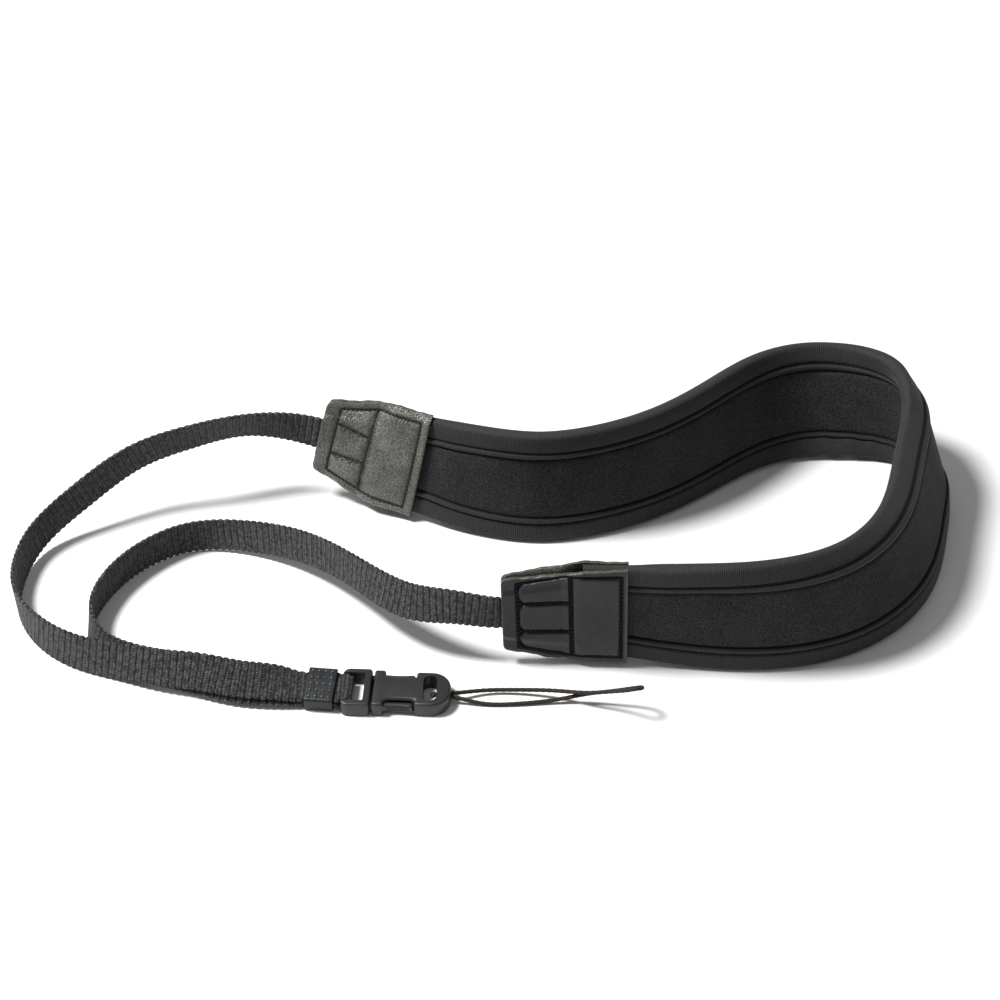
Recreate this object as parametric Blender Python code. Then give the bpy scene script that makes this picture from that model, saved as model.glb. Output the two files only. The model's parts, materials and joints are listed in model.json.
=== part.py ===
"""A camera neck strap lying on a table: a padded neck section between two leather patches, narrow webbing
that runs from each patch to one small plastic buckle, a dotted sleeve that holds the webbing together, and
a thin cord loop at the buckle's far end.

Metres, +Z up. The origin is on the table, under the middle of the strap. The view from the front looks
along +Y, and +X is to its right. The strap is one closed loop, and its pieces are followed in one
direction: from the buckle, left along the front, back along the rear webbing, through the pad to the
right, and left along the front webbing to the buckle again. "Out" is the side away from the pad's bow.
"""

import bmesh
import bpy
import numpy as np
from math import cos, pi, radians, sin

MM = 0.001

# How the strap lies
LAY_LENGTH = 320 * MM
LAY_DEPTH = 150 * MM

# Pad and its bindings
PAD_WIDTH = 41.5 * MM
PAD_THICK = 5.0 * MM
PAD_END_SHARE = 0.895
PAD_PINCH = 0.66
PINCH_RISE = 14 * MM
PINCH_INSIDE = 2 * MM
SEAM_LEDGE = 0.8 * MM
SEAM_DROP = 0.2 * MM
TAPE_DROP = 0.3 * MM
TONGUE_EDGE = 1.0 * MM
BINDING_WIDTH = 7.5 * MM
BINDING_THICK = 0.8 * MM
PAD_STEP = 8.5 * MM

# Webbing
WEB_WIDTH = 12.0 * MM
WEB_THICK = 1.3 * MM
WEB_STEP = 4.5 * MM

# Patches
PATCH_LENGTH = 40 * MM
PATCH_TAPER = 20 * MM
PATCH_MOUTH = 27 * MM
PATCH_OVERHANG = 0.5 * MM
PATCH_CORNER = 1.6 * MM
LEATHER_THICK = 1.2 * MM
PAD_IN_PATCH = 14 * MM
WEB_IN_PATCH = 18 * MM
STEP_UP_START = 7 * MM
STEP_UP_LENGTH = 6 * MM
SLACK = 0.15 * MM
RELIEF = 0.9 * MM
RELIEF_SLOPE = 0.5 * MM
FINGER_COUNT = 3
FINGER_START = 5.2 * MM
SEAM_PAST_TAPER = 0.6 * MM
SEAM_HALF = 0.7 * MM
PLATE_END = 2.2 * MM
FINGER_SHARE = 0.83
PLATE_SHARE = 0.88

# Sleeve
SLEEVE_LENGTH = 10.4 * MM
SLEEVE_WALL = 0.7 * MM
SLEEVE_TILT = 8.0
SLEEVE_TO_BAR = 8.3 * MM
SLEEVE_ROUND = 1.0 * MM
SLEEVE_INNER_ROUND = 0.4 * MM

# Buckle
BUCKLE_THICK = 5.2 * MM
BUCKLE_HEADING = -2.5
PLUG_LENGTH = 9.3 * MM
PLUG_WIDTH = 17.0 * MM
PLUG_CORNER = 1.2 * MM
WINDOW_CORNER = 0.5 * MM
BAR_RADIUS = 0.9 * MM
BAR_BEFORE = 1.1 * MM
BAR_SET_IN = 0.8 * MM
CROSSPIECE = 2.2 * MM
FLANGE_LENGTH = 3.6 * MM
FLANGE_WIDTH = 16.4 * MM
NECK_LENGTH = 9.8 * MM
NECK_WIDTH = 10.6 * MM
HEAD_LENGTH = 11.2 * MM
HEAD_WIDTH = 15.4 * MM
SLOT_LENGTH = 11.6 * MM
SLOT_WIDTH = 4.4 * MM
SLOT_FROM_NECK = 2.3 * MM
SOCKET_CORNER = 0.6 * MM
HEAD_ROUND_SHARE = 0.56
HEAD_ROUND_POWER = 0.86
PRONG_THICK = 2.2 * MM
PRONG_HEIGHT = 3.0 * MM
PRONG_LEVEL = 0.47
PRONG_INSET = 0.7 * MM
PRONG_ROOT = 0.6 * MM
PRONG_TIP_SHORT = 1.6 * MM
PRONG_BARB = 1.2 * MM
PRONG_CHAMFER = 0.8 * MM
PRONG_THINNER = 0.3 * MM
PLUG_GAP = 0.7 * MM
EDGE_ROUND = 0.5 * MM

# Cord loop
CORD_DIAMETER = 1.3 * MM
KNOT_RADIUS = 1.4 * MM

# Clearances
GAP = 0.3 * MM
CORD_ROOM = 0.5 * MM
CUT_PAST = 1.0 * MM

# The pad's middle line, from the rear patch's mouth round the right-hand bow to the front patch's mouth.
# along: share of LAY_LENGTH. deep: share of LAY_DEPTH. high: share of PAD_WIDTH. lean: degrees outwards.
# upper, lower: degrees that each bound edge turns from the middle panel. wide: share of PAD_WIDTH.
PAD_ROWS = (
    # along, deep, high, lean, upper, lower, wide
    (-0.184, 0.264, 0.604, 8, 0, 0, PAD_END_SHARE),
    (-0.077, 0.185, 0.500, 11, 0, 0, PAD_END_SHARE),
    (-0.009, 0.124, 0.502, 8, 0, 0, 0.98),
    (0.052, 0.100, 0.506, 7, 0, 0, 1.00),
    (0.112, 0.125, 0.506, 7, 0, 0, 1.00),
    (0.175, 0.188, 0.506, 8, 0, 0, 1.00),
    (0.241, 0.300, 0.502, 10, 2, 2, 1.00),
    (0.289, 0.388, 0.494, 14, 6, 6, 1.00),
    (0.346, 0.443, 0.482, 19, 9, 11, 1.00),
    (0.394, 0.440, 0.482, 17, 0, 12, 1.00),
    (0.443, 0.395, 0.502, 2, -20, 12, 1.00),
    (0.472, 0.278, 0.504, -16, -42, 14, 1.00),
    (0.462, 0.102, 0.496, -23, -46, 16, 1.00),
    (0.427, -0.131, 0.502, -20, -43, 13, 1.00),
    (0.358, -0.291, 0.505, -9, -34, 7, 1.00),
    (0.270, -0.348, 0.506, -2, -14, 1, 1.00),
    (0.210, -0.347, 0.506, 0, -2, 0, 0.98),
    (0.136, -0.331, 0.498, 0, 0, 0, PAD_END_SHARE),
    (0.011, -0.324, 0.468, -4, 0, 0, PAD_END_SHARE),
)

# The rear webbing's middle line, from beside the sleeve round the left-hand bend to the rear patch.
# along, deep: shares as above. high: share of WEB_WIDTH. lean: degrees outwards.
REAR_ROWS = (
    # along, deep, high, lean
    (-0.208, -0.448, 0.52, -66),
    (-0.247, -0.443, 0.61, -55),
    (-0.288, -0.423, 0.64, -48),
    (-0.329, -0.405, 0.58, -38),
    (-0.369, -0.379, 0.51, -28),
    (-0.411, -0.350, 0.50, -18),
    (-0.456, -0.283, 0.52, -8),
    (-0.487, -0.174, 0.53, 4),
    (-0.491, -0.063, 0.53, 8),
    (-0.479, 0.032, 0.66, 6),
    (-0.435, 0.126, 1.23, 3),
    (-0.378, 0.200, 1.90, -6),
    (-0.324, 0.231, 2.26, -13),
    (-0.261, 0.269, 2.35, -17),
)

# The front webbing's middle line, from the front patch over the arch and round the inner bend.
FRONT_ROWS = (
    # along, deep, high, lean
    (-0.036, -0.313, 1.69, -14),
    (-0.078, -0.275, 1.47, -26),
    (-0.131, -0.171, 1.26, -15),
    (-0.198, -0.028, 0.87, -12),
    (-0.261, 0.036, 0.61, -9),
    (-0.319, 0.039, 0.53, -4),
    (-0.368, -0.032, 0.53, -1),
    (-0.398, -0.135, 0.53, 0),
    (-0.407, -0.241, 0.52, 6),
    (-0.394, -0.325, 0.50, 22),
)

# Where the front webbing lies under the rear webbing on its way to the sleeve.
# back: distance from the sleeve in sleeve lengths. slip: share of WEB_WIDTH that it shows below.
UNDER_ROWS = (
    # back, slip
    (5.0, 0.02),
    (4.2, 0.08),
    (3.1, 0.19),
    (1.9, 0.21),
    (1.2, 0.17),
    (0.7, 0.11),
    (0.3, 0.04),
)

# The cord's route on the table, from the knot in the slot to the loop's tip and back.
CORD_POINTS = (
    # x, y, z in millimetres
    (-16.7, -67.9, 2.6),
    (-11.7, -67.9, 2.6),
    (-3.4, -66.0, 1.8),
    (8.9, -65.6, 1.8),
    (20.9, -67.8, 3.4),
    (30.9, -71.1, 5.6),
    (38.9, -73.6, 8.5),
    (43.5, -75.9, 11.2),
    (45.4, -76.1, 11.8),
    (47.0, -75.1, 11.2),
    (47.2, -73.5, 10.1),
    (46.0, -72.3, 8.9),
    (38.9, -70.6, 6.0),
    (30.9, -69.6, 3.8),
    (20.9, -69.8, 1.5),
    (8.9, -70.9, 0.8),
    (-3.7, -70.8, 1.0),
    (-11.7, -69.6, 2.3),
    (-16.7, -69.4, 2.6),
)

UP = np.array([0.0, 0.0, 1.0])


def unit(v):
    v = np.asarray(v, float)
    return v / np.linalg.norm(v, axis=-1, keepdims=True)


def cross(a, b):
    return np.cross(np.asarray(a, float), np.asarray(b, float))


class Smooth:
    """A natural cubic curve through rows of values, read by distance along the rows' first three columns."""

    def __init__(self, rows):
        self.rows = np.asarray(rows, float)
        steps = np.linalg.norm(np.diff(self.rows[:, :3], axis=0), axis=1)
        self.at_rows = np.concatenate([[0], np.cumsum(steps)])
        self.length = self.at_rows[-1]
        self.bends = self.second_derivatives(steps)

    def second_derivatives(self, steps):
        count = len(self.rows)
        matrix = np.eye(count)
        right = np.zeros_like(self.rows)
        for i in range(1, count - 1):
            before, after = steps[i - 1], steps[i]
            matrix[i, i - 1 : i + 2] = before / 6, (before + after) / 3, after / 6
            rise = (self.rows[i + 1] - self.rows[i]) / after
            right[i] = rise - (self.rows[i] - self.rows[i - 1]) / before
        return np.linalg.solve(matrix, right)

    def __call__(self, distance):
        distance = np.atleast_1d(distance)
        i = np.clip(np.searchsorted(self.at_rows, distance) - 1, 0, len(self.rows) - 2)
        step = (self.at_rows[i + 1] - self.at_rows[i])[:, None]
        b = (distance - self.at_rows[i])[:, None] / step
        a = 1 - b
        bend = (a**3 - a) * self.bends[i] + (b**3 - b) * self.bends[i + 1]
        return a * self.rows[i] + b * self.rows[i + 1] + bend * step**2 / 6

    def direction(self, distance):
        reach = 0.2 * MM
        return unit(self(distance + reach)[:, :3] - self(distance - reach)[:, :3])


def lay_point(along, deep, high):
    return along * LAY_LENGTH, deep * LAY_DEPTH, high


def upright(heading, lean):
    """The unit vector up across a strip: vertical, tipped out by lean degrees, square to its heading."""
    out = unit(cross(UP, heading))
    tip = np.radians(lean)[:, None]
    across = np.cos(tip) * UP + np.sin(tip) * out
    return unit(across - heading * np.sum(across * heading, axis=1, keepdims=True))


def spaced(start, end, step):
    return np.linspace(start, end, max(3, int(round((end - start) / step)) + 1))


# The padded section

pad_line = Smooth([(*lay_point(a, d, h * PAD_WIDTH), *rest) for a, d, h, *rest in PAD_ROWS])


def on_pad(distance, across, out):
    """Points of the padded section: distance along it, across its width from the middle, and out of it."""
    row = pad_line(distance)
    heading = pad_line.direction(distance)
    lean, upper, lower = row[:, 3], row[:, 4], row[:, 5]
    edge = row[:, 6] * PAD_WIDTH / 2 - BINDING_WIDTH
    middle_up = upright(heading, lean)
    bent_up = upright(heading, lean + np.where(across > 0, upper, lower))
    along_middle = np.clip(across, -edge, edge)
    past = across - along_middle
    on_edge = np.abs(past) > 1e-9
    face_up = np.where(on_edge[:, None], bent_up, middle_up)
    face_out = cross(face_up, heading)
    return (
        row[:, :3]
        + middle_up * along_middle[:, None]
        + bent_up * past[:, None]
        + face_out * np.asarray(out)[:, None]
    )


def half_width(distance):
    return pad_line(distance)[0, 6] * PAD_WIDTH / 2


def half_thick(distance):
    """Half the pad's thickness: full along the pad, pinched where the patches are sewn over its ends."""
    past_patch = min(distance, pad_line.length - distance) - PATCH_LENGTH + PINCH_INSIDE
    share = min(1, max(0, past_patch / PINCH_RISE))
    return PAD_THICK / 2 * (PAD_PINCH + (1 - PAD_PINCH) * share * share * (3 - 2 * share))


# Meshes


def new_object(name, mesh, colour, roughness, metallic=0.0):
    material = bpy.data.materials.new(name)
    material.use_nodes = True
    shader = material.node_tree.nodes["Principled BSDF"]
    shader.inputs["Base Color"].default_value = (*colour, 1)
    shader.inputs["Roughness"].default_value = roughness
    shader.inputs["Metallic"].default_value = metallic
    mesh.materials.append(material)
    item = bpy.data.objects.new(name, mesh)
    bpy.context.scene.collection.objects.link(item)
    return item


def finish_mesh(name, bm, sharp=40):
    bmesh.ops.recalc_face_normals(bm, faces=bm.faces)
    mesh = bpy.data.meshes.new(name)
    bm.to_mesh(mesh)
    bm.free()
    mesh.shade_smooth()
    mesh.set_sharp_from_angle(angle=radians(sharp))
    return mesh


def skin_of_rings(name, rings):
    """A closed mesh through rings of points, each ring with as many points, capped at both ends."""
    bm = bmesh.new()
    loops = [[bm.verts.new(point) for point in ring] for ring in rings]
    for first, second in zip(loops, loops[1:]):
        for i in range(len(first)):
            k = (i + 1) % len(first)
            a, b, c, d = first[i], first[k], second[k], second[i]
            if (a.co - c.co).length < (b.co - d.co).length:
                bm.faces.new((a, b, c))
                bm.faces.new((a, c, d))
            else:
                bm.faces.new((a, b, d))
                bm.faces.new((b, c, d))
    bm.faces.new(loops[0][::-1])
    bm.faces.new(loops[-1])
    return finish_mesh(name, bm)


def skin_of_grids(name, under, over):
    """A closed plate between two grids of points with as many rows and columns."""
    bm = bmesh.new()
    low = [[bm.verts.new(point) for point in line] for line in under]
    high = [[bm.verts.new(point) for point in line] for line in over]
    rows, columns = len(low), len(low[0])
    for i in range(rows - 1):
        for k in range(columns - 1):
            for grid in (low, high):
                bm.faces.new((grid[i][k], grid[i][k + 1], grid[i + 1][k + 1], grid[i + 1][k]))
    rim = [(i, 0) for i in range(rows)] + [(rows - 1, k) for k in range(1, columns)]
    rim += [(i, columns - 1) for i in range(rows - 2, -1, -1)] + [(0, k) for k in range(columns - 2, 0, -1)]
    for (i, k), (m, n) in zip(rim, rim[1:] + rim[:1]):
        bm.faces.new((low[i][k], low[m][n], high[m][n], high[i][k]))
    return finish_mesh(name, bm)


def rounded_slab(half_across, half_thick, corner, steps=3):
    """A flat profile with rounded edges, as pairs of across and out, once round."""
    points = []
    for sign_across, sign_out, start in ((1, 1, 0), (-1, 1, 90), (-1, -1, 180), (1, -1, 270)):
        for i in range(steps):
            turn = radians(start + 90 * i / (steps - 1))
            across = sign_across * (half_across - corner) + corner * cos(turn)
            out = sign_out * (half_thick - corner) + corner * sin(turn)
            points.append((across, out))
    return points


# Pad and bindings

pad_start = PATCH_LENGTH - PAD_IN_PATCH
pad_end = pad_line.length - pad_start
pad_stations = spaced(pad_start, pad_end, PAD_STEP)


def pad_core():
    """The foam strip. It fills out between the bindings and thins where they wrap its edges."""
    rings = []
    for s in pad_stations:
        half = half_width(s)
        face = half_thick(s)
        held = face - BINDING_THICK - GAP * 1.4
        seam = half - BINDING_WIDTH - GAP * 1.7
        tongue = half - BINDING_THICK - GAP
        profile = [(tongue, held * 0.6), (tongue - TONGUE_EDGE, held), (half - BINDING_WIDTH, held)]
        profile += [(seam, held), (seam - SEAM_LEDGE, face - SEAM_DROP), (0, face)]
        upper = profile + [(-a, o) for a, o in profile[-2::-1]]
        ring = upper + [(a, -o) for a, o in upper[::-1]]
        across, out = np.array(ring).T
        rings.append(on_pad(np.full(len(ring), s), across, out))
    return new_object("pad_core", skin_of_rings("pad_core", rings), (0.012, 0.012, 0.013), 0.9)


def binding(name, side):
    """A knitted tape folded round one long edge of the pad, its two legs on the pad's faces."""
    rings = []
    for s in pad_stations:
        half = half_width(s)
        seam = half - BINDING_WIDTH
        face = half_thick(s)
        held = face - BINDING_THICK
        fold = half - BINDING_THICK
        outer = [(seam, face - TAPE_DROP), (seam + SEAM_LEDGE, face)]
        outer += [(half - face * 0.6, face), (half - face * 0.15, face * 0.6), (half, 0)]
        inner = [(fold, 0), (fold, held * 0.7), (fold - BINDING_THICK, held), (seam, held)]
        ring = outer + [(a, -o) for a, o in outer[-2::-1]] + [(a, -o) for a, o in inner[::-1]] + inner[1:]
        across, out = np.array(ring).T
        rings.append(on_pad(np.full(len(ring), s), side * across, out))
    return new_object(name, skin_of_rings(name, rings), (0.018, 0.018, 0.019), 0.85)


# Patches

cross_seam = PATCH_TAPER + SEAM_PAST_TAPER


def patch_half(reach):
    """Half the height of a patch at a distance from its mouth."""
    wide = PAD_END_SHARE * PAD_WIDTH / 2 + PATCH_OVERHANG
    narrow = PATCH_MOUTH / 2
    corner = PATCH_CORNER
    taper = narrow + (wide - narrow) * min(1, reach / PATCH_TAPER)
    if reach < corner:
        taper -= corner - (corner**2 - (corner - reach) ** 2) ** 0.5
    return taper


def leaf_gap(reach, share):
    """How far a leaf's inner face lies from the middle plane: over the pad's end, then down to the webbing,
    and beside the webbing almost to the other leaf. share is the place across, from -1 to 1."""
    over_pad = PAD_THICK / 2 * PAD_PINCH + GAP + SLACK
    over_web = WEB_THICK / 2 + GAP
    beside = GAP * 0.7
    low = beside if abs(share) > 0.7 else over_web
    slope_start = PATCH_LENGTH - PAD_IN_PATCH - STEP_UP_START
    rise = min(1, max(0, (reach - slope_start) / STEP_UP_LENGTH))
    return low + (over_pad - low) * rise


def on_patch(front, reach, across, out):
    distance = pad_line.length - reach if front else reach
    return on_pad(np.array([distance]), np.array([across]), np.array([out]))[0]


def relief_height(reach, across_share):
    """The moulded leaf's relief: raised fingers on the taper and a raised plate over the pad's end."""
    if FINGER_START < reach < cross_seam - SEAM_HALF and abs(across_share) < FINGER_SHARE:
        finger = (across_share / FINGER_SHARE + 1) / 2 * FINGER_COUNT
        return RELIEF if 0.09 < finger % 1 < 0.91 else 0
    if cross_seam + SEAM_HALF < reach < PATCH_LENGTH - PLATE_END and abs(across_share) < PLATE_SHARE:
        return RELIEF
    return 0


def leaf_reaches(moulded):
    """Where the leaf's rows of points lie, from the mouth: by its corners, slopes and relief."""
    reaches = [0, PATCH_CORNER / 3, PATCH_CORNER, PATCH_LENGTH]
    reaches += [PATCH_LENGTH - PAD_IN_PATCH - STEP_UP_START + STEP_UP_LENGTH]
    if not moulded:
        reaches += [PATCH_TAPER * 0.4, PATCH_TAPER * 0.7, PATCH_TAPER * 0.95, PATCH_LENGTH * 0.85]
        return sorted(reaches)
    for edge in (FINGER_START, cross_seam - SEAM_HALF, cross_seam + SEAM_HALF, PATCH_LENGTH - PLATE_END):
        reaches += [edge - RELIEF_SLOPE / 2, edge + RELIEF_SLOPE / 2]
    return sorted(reaches + [PATCH_LENGTH * 0.8])


def leaf_shares(moulded):
    """Where the leaf's columns of points lie across it, from -1 to 1."""
    if not moulded:
        return [-1, -0.72, -0.56, 0, 0.56, 0.72, 1]
    between = []
    for k in range(1, FINGER_COUNT):
        middle = FINGER_SHARE * (2 * k / FINGER_COUNT - 1)
        between += [middle - 0.07, middle - 0.03, middle + 0.03, middle + 0.07]
    outer = [0.56, 0.72, FINGER_SHARE - 0.02, PLATE_SHARE - 0.02, PLATE_SHARE + 0.02, 1]
    return [-share for share in outer[::-1]] + between + outer


def leaf(name, front, side, moulded, colour, roughness):
    """One leather leaf of a patch. It follows the pad's end and the webbing, and its edge is left raw."""
    shares = leaf_shares(moulded)
    under, over = [], []
    for reach in leaf_reaches(moulded):
        half = patch_half(reach)
        near, far = [], []
        for share in shares:
            gap = leaf_gap(reach, share)
            rise = relief_height(reach, share) if moulded else 0
            near.append(on_patch(front, reach, share * half, side * gap))
            far.append(on_patch(front, reach, share * half, side * (gap + LEATHER_THICK + rise)))
        under.append(near)
        over.append(far)
    return new_object(name, skin_of_grids(name, under, over), colour, roughness)


# Webbing

heading_turn = radians(BUCKLE_HEADING)
buckle_along = np.array([cos(heading_turn), sin(heading_turn), 0])
buckle_across = np.array([-sin(heading_turn), cos(heading_turn), 0])
bar_middle = np.array([-0.1437 * LAY_LENGTH, -0.4493 * LAY_DEPTH, BUCKLE_THICK / 2])
turn_radius = BAR_RADIUS + GAP * 1.2 + WEB_THICK / 2
layer_rise = (WEB_THICK + GAP) / 2
sleeve_rise = WEB_THICK + GAP * 1.9 + SLEEVE_WALL
sleeve_half_width = WEB_WIDTH / 2 + GAP + SLEEVE_WALL
tilt = radians(SLEEVE_TILT)
sleeve_across = buckle_across * cos(tilt) + UP * sin(tilt)
sleeve_up = UP * cos(tilt) - buckle_across * sin(tilt)
sleeve_middle = bar_middle - buckle_along * SLEEVE_TO_BAR
sleeve_middle[2] = sleeve_half_width * sin(tilt) + sleeve_rise * cos(tilt)


def turn_rows():
    """Rows of point and across vector: out of the sleeve's lower layer, round the bar and back above it."""
    rows = []
    half = SLEEVE_LENGTH / 2
    for reach in (0, half / 2, half):
        rows.append((*(sleeve_middle + buckle_along * reach - sleeve_up * layer_rise), *sleeve_across))
    for turn in np.linspace(-90, 90, 7):
        around = buckle_along * cos(radians(turn)) + UP * sin(radians(turn))
        rows.append((*(bar_middle + around * turn_radius), *buckle_across))
    for reach in (half, half / 3, -half / 3, -half):
        rows.append((*(sleeve_middle + buckle_along * reach + sleeve_up * layer_rise), *sleeve_across))
    return rows


def lay_rows(rows, before, after):
    """Rows of point and across vector for a table of the webbing, between the points before and after."""
    points = [lay_point(a, d, h * WEB_WIDTH) for a, d, h, _ in rows]
    headings = unit(np.gradient(np.array([before] + points + [after]), axis=0))[1:-1]
    across = upright(headings, np.array([row[3] for row in rows], float))
    return [(*p, *a) for p, a in zip(points, across)]


def patch_rows(front):
    """Rows inside a patch, from its mouth inwards."""
    rows = []
    for reach in np.linspace(0, WEB_IN_PATCH, 5):
        distance = np.array([pad_line.length - reach if front else reach])
        lean = pad_line(distance)[:, 3]
        rows.append((*pad_line(distance)[0, :3], *upright(pad_line.direction(distance), lean)[0]))
    return rows


def strip_frames(curve, distances):
    """Middle points, across vectors and outward vectors of a strip at each distance."""
    values = curve(distances)
    heading = curve.direction(distances)
    across = values[:, 3:6] - heading * np.sum(values[:, 3:6] * heading, axis=1, keepdims=True)
    across = unit(across)
    return values[:, :3], across, cross(across, heading)


def strip(name, curve, distances):
    middles, across, out = strip_frames(curve, distances)
    profile = rounded_slab(WEB_WIDTH / 2, WEB_THICK / 2, WEB_THICK * 0.3, 2)
    rings = [[m + w * a + n * o for a, o in profile] for m, w, n in zip(middles, across, out)]
    return new_object(name, skin_of_rings(name, rings), (0.035, 0.036, 0.035), 0.8)


turn = turn_rows()
rear_patch = patch_rows(False)
front_patch = patch_rows(True)
rear_lay = lay_rows(REAR_ROWS, turn[-1][:3], rear_patch[0][:3])
rear_line = Smooth(turn + rear_lay + rear_patch)
turn_length = rear_line.at_rows[len(turn) - 1]


def under_rows():
    """Rows of the front webbing where it lies against the rear webbing's inner side."""
    rows = []
    for back, slip in UNDER_ROWS:
        middle, across, out = strip_frames(rear_line, np.array([turn_length + back * SLEEVE_LENGTH]))
        point = middle[0] - out[0] * (WEB_THICK + GAP * 1.8) - across[0] * slip * WEB_WIDTH
        rows.append((*point, *across[0]))
    return rows


under = under_rows()
sleeve_end = []
for reach in (-SLEEVE_LENGTH / 2, -GAP):
    sleeve_end.append((*(sleeve_middle + buckle_along * reach - sleeve_up * layer_rise), *sleeve_across))
front_lay = lay_rows(FRONT_ROWS, front_patch[0][:3], under[0][:3])
front_line = Smooth(front_patch[::-1] + front_lay + under + sleeve_end)


def web_rear():
    """Webbing from the sleeve round the buckle's bar, back through the sleeve and on to the rear patch."""
    twist_end = turn_length + 2 * SLEEVE_LENGTH
    turn_part = np.linspace(0, turn_length, 18)
    twist_part = spaced(turn_length, twist_end, WEB_STEP / 2)
    loose_part = spaced(twist_end, rear_line.length, WEB_STEP)
    return strip("webbing_rear", rear_line, np.concatenate([turn_part, twist_part[1:], loose_part[1:]]))


def web_front():
    """Webbing from the front patch to the sleeve."""
    near_sleeve = front_line.length - 2 * SLEEVE_LENGTH
    loose = spaced(0, near_sleeve, WEB_STEP)
    tight = spaced(near_sleeve, front_line.length, WEB_STEP / 2)
    return strip("webbing_front", front_line, np.concatenate([loose, tight[1:]]))


# Sleeve


def sleeve():
    """A short flat tube round both layers of the webbing."""
    outer = rounded_slab(sleeve_half_width, sleeve_rise, SLEEVE_ROUND, 4)
    inner = rounded_slab(sleeve_half_width - SLEEVE_WALL, sleeve_rise - SLEEVE_WALL, SLEEVE_INNER_ROUND, 4)
    bm = bmesh.new()
    loops = []
    for reach, profile in ((-0.5, outer), (0.5, outer), (0.5, inner), (-0.5, inner)):
        at = sleeve_middle + buckle_along * reach * SLEEVE_LENGTH
        loops.append([bm.verts.new(at + sleeve_across * a + sleeve_up * o) for a, o in profile])
    for first, second in zip(loops, loops[1:] + loops[:1]):
        for i in range(len(first)):
            k = (i + 1) % len(first)
            bm.faces.new((first[i], first[k], second[k], second[i]))
    return new_object("sleeve", finish_mesh("sleeve", bm), (0.02, 0.024, 0.03), 0.4)


# Buckle


def prism(name, outline, bottom, top):
    """A hidden or kept block: a flat outline in the buckle's own directions, raised from bottom to top."""
    bm = bmesh.new()
    base = [bm.verts.new((x, y, bottom)) for x, y in outline]
    face = bm.faces.new(base)
    raised = bmesh.ops.extrude_face_region(bm, geom=[face])["geom"]
    moved = [v for v in raised if isinstance(v, bmesh.types.BMVert)]
    bmesh.ops.translate(bm, verts=moved, vec=(0, 0, top - bottom))
    return finish_mesh(name, bm, 30)


def rounded_box(x0, x1, half, corner, steps=4):
    middle = (x0 + x1) / 2
    points = rounded_slab((x1 - x0) / 2, half, corner, steps)
    return [(middle + x, y) for x, y in points]


def place_on_buckle(item):
    item.location = bar_middle - UP * bar_middle[2]
    item.rotation_euler = (0, 0, heading_turn)
    return item


def boolean(item, other, operation):
    other.hide_render = True
    other.display_type = "WIRE"
    modifier = item.modifiers.new(other.name, "BOOLEAN")
    modifier.operation = operation
    modifier.object = other


def helper(name, mesh):
    return place_on_buckle(new_object(name, mesh, (0.5, 0.5, 0.5), 0.5))


def soften(item):
    modifier = item.modifiers.new("edges", "BEVEL")
    modifier.width = EDGE_ROUND
    modifier.segments = 1
    modifier.limit_method = "ANGLE"
    modifier.angle_limit = radians(50)


# Distances from the bar's middle along the buckle
plug_start = -BAR_BEFORE
plug_end = plug_start + PLUG_LENGTH
flange_start = plug_end + PLUG_GAP
neck_start = flange_start + FLANGE_LENGTH
head_start = neck_start + NECK_LENGTH
head_end = head_start + HEAD_LENGTH
prong_middle_height = BUCKLE_THICK * PRONG_LEVEL
prong_half_across = FLANGE_WIDTH / 2 - PRONG_INSET
slot_middle = head_start + SLOT_FROM_NECK + SLOT_WIDTH / 2
window_half = WEB_WIDTH / 2 + GAP * 1.3


def bar_mesh(name, half):
    """The round bar across the plug's left end."""
    bm = bmesh.new()
    sides = 10
    loops = []
    turns = np.arange(sides) * 2 * pi / sides
    circle = [(BAR_RADIUS * cos(t), BUCKLE_THICK / 2 + BAR_RADIUS * sin(t)) for t in turns]
    for y in (-half, half):
        loops.append([bm.verts.new((x, y, z)) for x, z in circle])
    for i in range(sides):
        k = (i + 1) % sides
        bm.faces.new((loops[0][i], loops[0][k], loops[1][k], loops[1][i]))
    bm.faces.new(loops[0][::-1])
    bm.faces.new(loops[1])
    return finish_mesh(name, bm)


def prong_outline(side):
    """One springy side arm of the plug, seen from above, from the crosspiece to its barbed tip."""
    outer = prong_half_across
    root = plug_end - GAP * 1.3
    tip = head_start - PRONG_TIP_SHORT
    waist = neck_start + NECK_LENGTH * 0.35
    points = [(root, outer - PRONG_THICK - PRONG_ROOT), (root, outer - PRONG_ROOT)]
    points += [(waist, outer - PRONG_THINNER), (tip - PRONG_BARB, outer), (tip, outer - PRONG_CHAMFER)]
    points += [(tip, outer - PRONG_THICK + PRONG_THINNER), (waist, outer - PRONG_THICK)]
    return [(x, side * y) for x, y in points]


def plastic_block(name, outline):
    block = new_object(name, prism(name, outline, 0, BUCKLE_THICK), (0.03, 0.03, 0.03), 0.45)
    soften(block)
    return place_on_buckle(block)


def join_or_cut(item, name, outline, bottom, top, operation):
    """Joins a block to a piece of the buckle, or cuts it out."""
    boolean(item, helper(name, prism(name, outline, bottom, top)), operation)


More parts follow.
